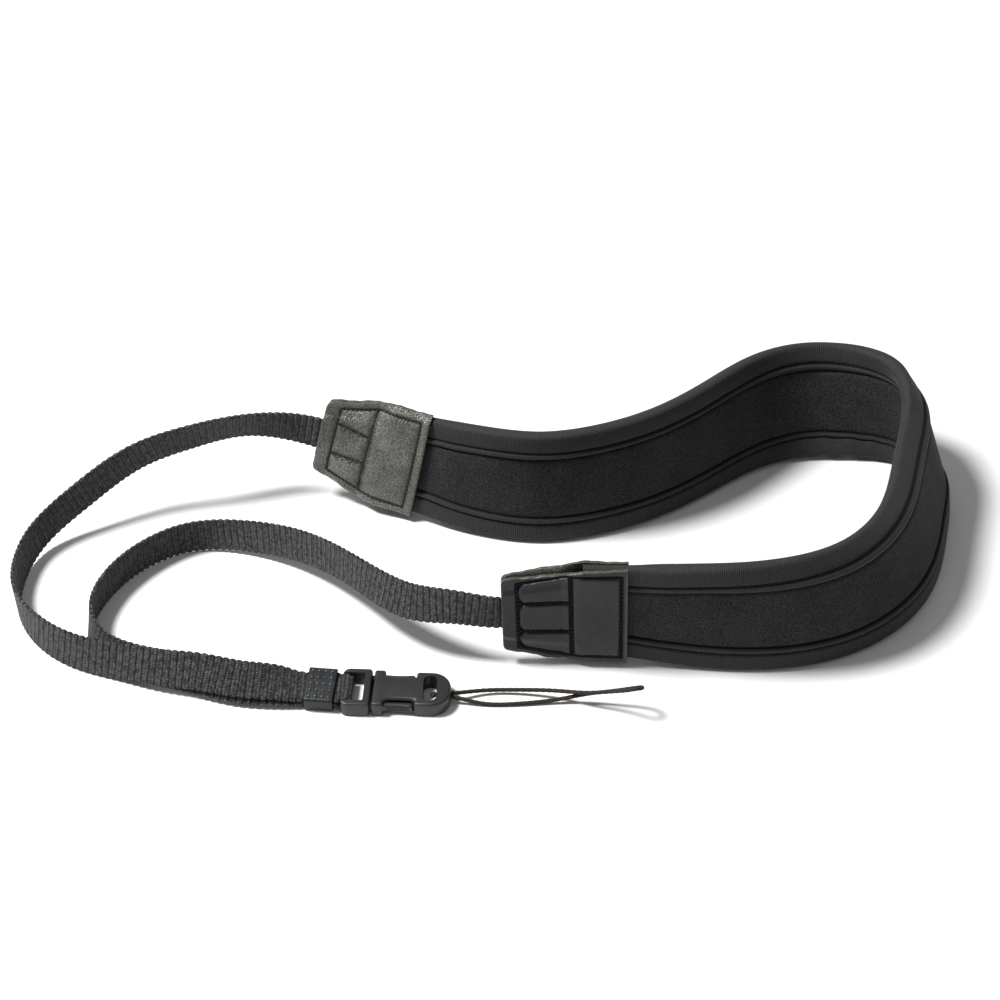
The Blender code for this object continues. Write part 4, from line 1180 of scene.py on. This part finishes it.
def webbing_finish():
    """Woven webbing: paired columns of slanted yarn bumps, their tops painted lighter and their hollows
    darker as painted light and shade, and lines of painted shade between the pairs.
    """
    material, tree, shader = new_finish("woven webbing", 0.6, gloss=0.3, sheen=0.08)
    math = partial(counted, tree)
    pull = math("MULTIPLY", math("SUBTRACT", speckle(tree, 600, 2), 0.5), 0.95 * MM)
    along = math("ADD", marked(tree, "along"), pull)
    columns = math("MULTIPLY", along, 2 / WEB_RIB)
    odd = math("MODULO", math("ABSOLUTE", math("FLOOR", columns)), 2.0)
    slant = math("SUBTRACT", math("MULTIPLY", odd, 2.0), 1.0)
    shift = math("MULTIPLY", math("MULTIPLY", math("FRACT", columns), slant), 0.75)
    uneven = math("MULTIPLY", speckle(tree, 520, 2), 2.2)
    yarns = math("ADD", math("MULTIPLY", marked(tree, "wide"), 1 / WEB_YARN), math("ADD", shift, uneven))
    yarn = math("POWER", hills(tree, math("MULTIPLY", yarns, pi)), 0.8)
    column = math("POWER", hills(tree, math("MULTIPLY", columns, pi)), 0.3)
    bump = math("MULTIPLY", yarn, column)
    pair = hills(tree, math("MULTIPLY", along, pi / WEB_RIB))
    # Yarn tops painted lighter and the hollows between yarns darker: painted light and shade.
    yarn_light_and_shade = between(tree, bump, shade(WEB_GREY, 0.10), shade(WEB_GREY, 2.3), 0.15, 0.95)
    # The lines between the rib pairs are painted darker: painted shade.
    woven = blended(tree, 1.0, yarn_light_and_shade, between(tree, pair, 0.22, 1.15, 0.05, 0.6), "MULTIPLY")
    tinted(tree, shader, woven, between(tree, speckle(tree, 820, 4), 0.28, 1.80, 0.38, 0.62))
    first = raised(tree, shader, bump, 0.42 * MM, 1.0)
    raised(tree, shader, speckle(tree, 3200, 2), 0.08 * MM, 0.6, first)
    return material


woven_webbing = webbing_finish()


def web_strip(name, node, curve):
    """A woven strip along its route, ribbed by the tree, its edges drawn in between the ribs."""
    distance = np.linspace(0, curve.length, int(curve.length / (WEB_RIB / 8)) + 1)
    middle, across, out = strip_frames(curve, distance)
    half, thick = WEB_WIDTH / 2 - 0.05 * MM, WEB_THICK / 2 - WEB_RELIEF
    upper = [(half * share, thick) for share in np.linspace(0.965, -0.965, 21)]
    section = [(half, 0), (half * 0.99, thick * 0.7)] + upper + [(-half * 0.99, thick * 0.7), (-half, 0)]
    section += [(a, -o) for a, o in section[-2:0:-1]]
    a, o = np.array(section).T
    grid = middle[:, None] + across[:, None] * a[None, :, None] + out[:, None] * o[None, :, None]
    at_edge = (np.abs(a) > half * 0.9) * np.sign(a)
    on_face = np.abs(o) > thick * 0.9
    sizes = {"Pitch": WEB_RIB, "Height": WEB_RELIEF, "Pair_share": WEB_PAIR_SHARE, "Scallop": WEB_SCALLOP}
    marks = {"along": distance[:, None], "wide": a, "ribs": np.where(on_face, 1.0, 0.6)}
    marks["edge"] = across[:, None] * at_edge[None, :, None]
    ribbed(name, node, "webbing_weave", grid, {**sizes, "Finish": woven_webbing}, **marks)


web_strip("rear_webbing_woven", "webbing_rear", rear_line)
web_strip("front_webbing_woven", "webbing_front", front_line)

# The sleeve.
# A short flat tube of blue-black rubber is pushed over both layers of webbing. Its faces carry small raised
# dots in rows, and its skin is lightly brushed across.

SLEEVE_LENGTH = 9.0 * MM
SLEEVE_SHIFT = 0.7 * MM
SLEEVE_TURN = -3.0
DOT_COLUMNS = 4
DOT_ROWS = 5
DOT_PITCH_ALONG = 2.1 * MM
DOT_PITCH_ACROSS = 2.6 * MM
DOT_WIDE = 0.95 * MM
DOT_HIGH = 0.9 * MM
SLEEVE_LIP = 0.16 * MM
SLEEVE_BLUE = (0.0100, 0.0115, 0.0125)
# The dots' paler blue is a painted highlight on the sleeve's rubber.
DOT_LIT_BLUE = (0.048, 0.052, 0.055)

sleeve_along = buckle_along * cos(radians(SLEEVE_TURN)) + sleeve_across * sin(radians(SLEEVE_TURN))
sleeve_beside = sleeve_across * cos(radians(SLEEVE_TURN)) - buckle_along * sin(radians(SLEEVE_TURN))
sleeve_centre = sleeve_middle + buckle_along * SLEEVE_SHIFT


def sleeve_section(half_across, half_out, corner, steps):
    """A flat rounded section, as pairs of across and out, once round."""
    points = []
    for sign_across, sign_out, start in ((1, 1, 0), (-1, 1, 90), (-1, -1, 180), (1, -1, 270)):
        for i in range(steps):
            at = radians(start + 90 * i / (steps - 1))
            across = sign_across * (half_across - corner) + corner * cos(at)
            out = sign_out * (half_out - corner) + corner * sin(at)
            points.append((across, out))
    return np.array(points)


def rubber_finish(name, blue, gloss):
    material, tree, shader = new_finish(name, gloss=gloss)
    at = add_node(tree, "ShaderNodeTexCoord").outputs["Object"]
    brushed = {"Vector": at, "Rotation": (0, 0, -heading_turn), "Scale": (3200, 260, 700)}
    turned = add_node(tree, "ShaderNodeMapping", brushed).outputs[0]
    streak = {"Vector": turned, "Scale": 1.0, "Detail": 3.0}
    streak = add_node(tree, "ShaderNodeTexNoise", streak).outputs["Fac"]
    tone = between(tree, streak, shade(blue, 0.5), shade(blue, 1.8), 0.3, 0.72)
    tree.links.new(tone, shader.inputs["Base Color"])
    dulled(tree, shader, streak, 0.28, 0.6)
    raised(tree, shader, streak, 0.16 * MM, 0.8)
    return material


brushed_rubber = rubber_finish("brushed rubber", SLEEVE_BLUE, 0.35)
# The dots get a paler, glossier copy of the rubber: a painted highlight.
dots_lit_paler = rubber_finish("rubber dots lit paler", DOT_LIT_BLUE, 0.8)


def sleeve_tube():
    outer = sleeve_section(sleeve_half_width, sleeve_rise, 1.0 * MM, 9)
    inner = sleeve_section(sleeve_half_width - SLEEVE_WALL, sleeve_rise - SLEEVE_WALL, 0.4 * MM, 9)
    half, lip = SLEEVE_LENGTH / 2, SLEEVE_LIP
    rings = [(reach, 0) for reach in np.linspace(-half + lip, half - lip, 9)]
    rings += [(half - lip * 0.3, 0.06), (half, 0.25), (half, 0.75)]
    rings += [(half - lip, 1), (0, 1), (-half + lip, 1)]
    rings += [(-half, 0.75), (-half, 0.25), (-half + lip * 0.3, 0.06)]
    grid = []
    for reach, share in rings:
        section = mixed(outer, inner, share)
        at = sleeve_centre + sleeve_along * reach
        grid.append(at + sleeve_beside * section[:, :1] + sleeve_up * section[:, 1:])
    mesh = skin("sleeve_tube", grid, closed=True)
    outwards(mesh)
    fixed(new_piece("sleeve_tube", mesh, brushed_rubber), "sleeve_rubber", "sleeve")


def sleeve_dots():
    rows = []
    for side in (1, -1):
        for i in range(DOT_COLUMNS):
            for k in range(DOT_ROWS):
                along = (i - (DOT_COLUMNS - 1) / 2) * DOT_PITCH_ALONG
                across = (k - (DOT_ROWS - 1) / 2) * DOT_PITCH_ACROSS
                at = sleeve_centre + sleeve_along * along + sleeve_beside * across
                rows.append(([at + sleeve_up * side * sleeve_rise], [sleeve_along], [sleeve_up * side]))
    form = {"Length": DOT_WIDE, "Width": DOT_WIDE, "Height": DOT_HIGH, "Sides": 10, "Unevenness": 0.08}
    on_points("sleeve_dots", rows, "sleeve_rubber", Seed=5, Finish=dots_lit_paler, **form)


sleeve_tube()
sleeve_dots()

# The buckle.
# Two parts moulded in satin dark grey plastic. The plug is a frame with the webbing's bar and two side
# arms. It is clicked into the socket, a flange and neck that end in a D with the cord's slot.

PLUG_LENGTH = 9.3 * MM
PLUG_WIDTH = 17.0 * MM
CROSSPIECE = 2.2 * MM
FLANGE_LENGTH = 3.6 * MM
FLANGE_WIDTH = 16.4 * MM
NECK_LENGTH = 9.8 * MM
NECK_WIDTH = 10.6 * MM
HEAD_LENGTH = 11.2 * MM
HEAD_WIDTH = 15.4 * MM
SLOT_LENGTH = 11.6 * MM
SLOT_WIDTH = 4.4 * MM
PRONG_THICK = 2.2 * MM
PRONG_HEIGHT = 3.0 * MM
PLUG_GAP = 0.7 * MM
BAR_SIDE_CORNER = 2.4 * MM
EDGE_ROUND = 0.6 * MM
HEAD_ROUND = 0.85 * MM
ARM_ROUND = 0.7 * MM
ARM_GROOVE = 0.12 * MM
CORD_HOLE = 1.15 * MM
PLASTIC_GREY = (0.0150, 0.0155, 0.0150)

plug_start = -1.1 * MM
plug_end = plug_start + PLUG_LENGTH
flange_start = plug_end + PLUG_GAP
neck_start = flange_start + FLANGE_LENGTH
head_start = neck_start + NECK_LENGTH
head_end = head_start + HEAD_LENGTH
prong_middle_height = BUCKLE_THICK * 0.47
prong_half_across = FLANGE_WIDTH / 2 - 0.7 * MM
slot_middle = head_start + 2.3 * MM + SLOT_WIDTH / 2


def on_buckle(x, y, z):
    return bar_middle - UP * bar_middle[2] + buckle_along * x + buckle_across * y + UP * z


def shell(name, bm):
    """The bare piece that a bmesh holds, its faces turned outwards."""
    bmesh.ops.recalc_face_normals(bm, faces=bm.faces)
    mesh = bpy.data.meshes.new(name)
    bm.to_mesh(mesh)
    bm.free()
    return new_piece(name, mesh)


def block(name, outline, bottom, top):
    """A block with a flat outline in the buckle's own directions, raised from bottom to top."""
    bm = bmesh.new()
    face = bm.faces.new([bm.verts.new(on_buckle(x, y, bottom)) for x, y in outline])
    made = bmesh.ops.extrude_face_region(bm, geom=[face])["geom"]
    moved = [v for v in made if isinstance(v, bmesh.types.BMVert)]
    bmesh.ops.translate(bm, verts=moved, vec=(0, 0, top - bottom))
    return shell(name, bm)


def round_bar(name, half):
    bm = bmesh.new()
    turns = [2 * pi * i / 24 for i in range(24)]
    rim = [(BAR_RADIUS * cos(t), BUCKLE_THICK / 2 + BAR_RADIUS * sin(t)) for t in turns]
    near, far = ([bm.verts.new(on_buckle(x, y, z)) for x, z in rim] for y in (-half, half))
    for i in range(24):
        k = (i + 1) % 24
        bm.faces.new((near[i], near[k], far[k], far[i]))
    bm.faces.new(near[::-1])
    bm.faces.new(far)
    return shell(name, bm)


def rounded_box(x0, x1, half, corner, steps=9):
    middle = (x0 + x1) / 2
    return [(middle + x, y) for x, y in sleeve_section((x1 - x0) / 2, half, corner, steps)]


def soften(piece, width, segments, angle):
    modifier = piece.modifiers.new("soft edges", "BEVEL")
    modifier.width = width
    modifier.segments = segments
    modifier.limit_method = "ANGLE"
    modifier.angle_limit = radians(angle)


def join_or_cut(piece, other, operation):
    modifier = piece.modifiers.new(operation, "BOOLEAN")
    modifier.operation = operation
    modifier.object = other


def settled(piece, helpers, node):
    """Makes the piece's modifiers real, removes its helper blocks and dresses it in plastic."""
    graph = bpy.context.evaluated_depsgraph_get()
    mesh = bpy.data.meshes.new_from_object(piece.evaluated_get(graph))
    piece.modifiers.clear()
    piece.data = mesh
    for helper in helpers:
        bpy.data.objects.remove(helper)
    mesh.shade_smooth()
    mesh.set_sharp_from_angle(angle=radians(32))
    mesh.materials.clear()
    mesh.materials.append(moulded_plastic)
    fixed(piece, "buckle_plastic", node)


def prong_outline(side):
    """One springy side arm of the plug, from the crosspiece to its tip, its outer side a little hollow."""
    outer, inner = prong_half_across, prong_half_across - PRONG_THICK
    root = plug_end - 0.4 * MM
    tip = head_start - 0.35 * MM
    points = [(root, inner - 0.6 * MM), (root, outer - 0.6 * MM)]
    for share in np.linspace(0, 1, 15):
        hollow = 0.35 * MM * sin(pi * share)
        points.append((mixed(neck_start - 1 * MM, tip - 0.9 * MM, share), outer - hollow))
    points += [(tip - 0.3 * MM, outer - 0.25 * MM), (tip, outer - 0.8 * MM), (tip, inner + 0.3 * MM)]
    points += [(mixed(tip - 1 * MM, neck_start, share), inner) for share in np.linspace(0, 1, 9)]
    return [(x, side * y) for x, y in points]


def plastic_finish():
    """Satin moulded plastic: a fine eroded grain, faint flow clouds."""
    material, tree, shader = new_finish("moulded plastic", gloss=0.55)
    grain = speckle(tree, 3800, 2)
    cloud = speckle(tree, 120, 3)
    tone = between(tree, grain, shade(PLASTIC_GREY, 0.8), shade(PLASTIC_GREY, 1.25), 0.3, 0.7)
    tinted(tree, shader, tone, between(tree, cloud, 0.88, 1.14, 0.3, 0.7))
    dulled(tree, shader, cloud, 0.36, 0.5)
    raised(tree, shader, grain, 0.03 * MM, 0.6)
    return material


moulded_plastic = plastic_finish()


def plug():
    frame_outline = rounded_box(plug_start, plug_end, PLUG_WIDTH / 2, 1.2 * MM)
    turned_in = rounded_box(plug_start, plug_end, PLUG_WIDTH / 2, BAR_SIDE_CORNER)
    middle = (plug_start + plug_end) / 2
    frame_outline = [b if a[0] < middle else a for a, b in zip(frame_outline, turned_in)]
    piece = block("plug_frame", frame_outline, 0, BUCKLE_THICK)
    soften(piece, EDGE_ROUND, 4, 50)
    window_half = WEB_WIDTH / 2 + GAP + 0.1 * MM
    window = rounded_box(plug_start - 4 * MM, plug_end - CROSSPIECE, window_half, 0.6 * MM, 5)
    helpers = [block("window", window, -1 * MM, BUCKLE_THICK + 1 * MM)]
    join_or_cut(piece, helpers[0], "DIFFERENCE")
    helpers.append(round_bar("bar", window_half + 0.8 * MM))
    join_or_cut(piece, helpers[-1], "UNION")
    low = prong_middle_height - PRONG_HEIGHT / 2
    for side in (1, -1):
        arm = block("arm", prong_outline(side), low, low + PRONG_HEIGHT)
        soften(arm, ARM_ROUND, 4, 40)
        helpers.append(arm)
        join_or_cut(piece, arm, "UNION")
        for share in (0.34, 0.54, 0.74):
            inner = side * (prong_half_across - 0.55 * MM)
            outer = side * (prong_half_across + 2 * MM)
            starts, ends = neck_start + 0.9 * MM, head_start - 1.6 * MM
            height = low + PRONG_HEIGHT * share
            groove = [(starts, inner), (ends, inner), (ends, outer), (starts, outer)]
            helpers.append(block("groove", groove, height - ARM_GROOVE, height + ARM_GROOVE))
            join_or_cut(piece, helpers[-1], "DIFFERENCE")
    settled(piece, helpers, "buckle_plug")


def socket_outline():
    """The socket seen from above: the flange, the waisted neck and the D-shaped head."""
    flange_half, neck_half, head_half = FLANGE_WIDTH / 2, NECK_WIDTH / 2, HEAD_WIDTH / 2
    corner = 0.7 * MM
    nick = corner * 0.3
    near = [(flange_start, -flange_half + corner), (flange_start + nick, -flange_half + nick)]
    near += [(flange_start + corner, -flange_half), (neck_start - corner, -flange_half)]
    near += [(neck_start - nick, -flange_half + nick), (neck_start, -flange_half + corner)]
    for share in np.linspace(0, 1, 9):
        waist = 0.3 * MM * sin(pi * share)
        flare = 0.8 * MM * (max(0, 0.16 - share) / 0.16) ** 2
        near.append((mixed(neck_start, head_start, share), -neck_half + waist - flare))
    near += [(head_start, -head_half + corner), (head_start + nick, -head_half + nick)]
    near.append((head_start + corner, -head_half))
    round_reach = HEAD_LENGTH * 0.56
    for at in np.linspace(-90, 0, 17):
        x = head_end - round_reach + round_reach * cos(radians(at))
        near.append((x, -head_half * abs(sin(radians(at))) ** 0.86))
    return near + [(x, -y) for x, y in near[-2::-1]]


def socket():
    piece = block("socket_body", socket_outline(), 0, BUCKLE_THICK)
    soften(piece, HEAD_ROUND, 5, 50)
    half = SLOT_WIDTH / 2
    slot = rounded_box(slot_middle - half, slot_middle + half, SLOT_LENGTH / 2, half * 0.96, 9)
    helpers = [block("slot", slot, -1 * MM, BUCKLE_THICK + 1 * MM)]
    low = prong_middle_height - PRONG_HEIGHT / 2 - GAP
    high = prong_middle_height + PRONG_HEIGHT / 2 + GAP
    inner = prong_half_across - PRONG_THICK - 0.6 * MM - GAP
    outer = prong_half_across + 0.2 * MM + GAP
    for side in (1, -1):
        starts, ends = flange_start - 1 * MM, head_start - 1 * MM
        tunnel = [(starts, inner), (ends, inner), (ends, outer), (starts, outer)]
        tunnel = [(x, side * y) for x, y in tunnel]
        helpers.append(block("tunnel", tunnel, low, high))
    reach, ends = CORD_DIAMETER + 2 * GAP, head_end + 2 * MM
    hole = [(slot_middle, -reach), (ends, -reach), (ends, reach), (slot_middle, reach)]
    helpers.append(block("cord_hole", hole, BUCKLE_THICK / 2 - CORD_HOLE, BUCKLE_THICK / 2 + CORD_HOLE))
    for helper in helpers:
        join_or_cut(piece, helper, "DIFFERENCE")
    settled(piece, helpers, "buckle_socket")


plug()
socket()

# The table and the light.
# A plain white table top in a bright even studio: one soft light high at the left, and a white surround
# whose light the table throws back up at the strap.

TABLE_WHITE = (0.86, 0.86, 0.855)
TABLE_HALF = 3.0
LAMP_PLACE = (-0.85, 0.05, 1.35)
LAMP_SIZE = 0.42
LAMP_POWER = 42
SURROUND_STRENGTH = 0.28


def table():
    mesh = bpy.data.meshes.new("table_top")
    corners = [(x * TABLE_HALF, y * TABLE_HALF, 0) for x, y in ((-1, -1), (1, -1), (1, 1), (-1, 1))]
    mesh.from_pydata(corners, [], [(0, 1, 2, 3)])
    material, tree, shader = new_finish("white table", 0.6)
    tone = between(tree, speckle(tree, 14, 3), shade(TABLE_WHITE, 0.985), TABLE_WHITE, 0.35, 0.65)
    tree.links.new(tone, shader.inputs["Base Color"])
    raised(tree, shader, speckle(tree, 1200, 2), 0.02 * MM, 0.1)
    new_piece("table_top", mesh, material)


def soft_light():
    """One round soft light, turned to the middle of the table."""
    data = bpy.data.lights.new("key", "AREA")
    data.shape = "DISK"
    data.size = LAMP_SIZE
    data.energy = LAMP_POWER
    lamp = bpy.data.objects.new("key", data)
    lamp.location = LAMP_PLACE
    toward = unit(-np.array(LAMP_PLACE))
    lamp.rotation_euler = (float(np.arccos(-toward[2])), 0, float(np.arctan2(-toward[0], toward[1])))
    bpy.context.scene.collection.objects.link(lamp)


def white_surround():
    world = bpy.data.worlds.new("white studio")
    world.use_nodes = True
    inputs = world.node_tree.nodes["Background"].inputs
    inputs["Color"].default_value = (1, 1, 1, 1)
    inputs["Strength"].default_value = SURROUND_STRENGTH
    bpy.context.scene.world = world


table()
soft_light()
white_surround()
bpy.context.scene.view_settings.view_transform = "Standard"
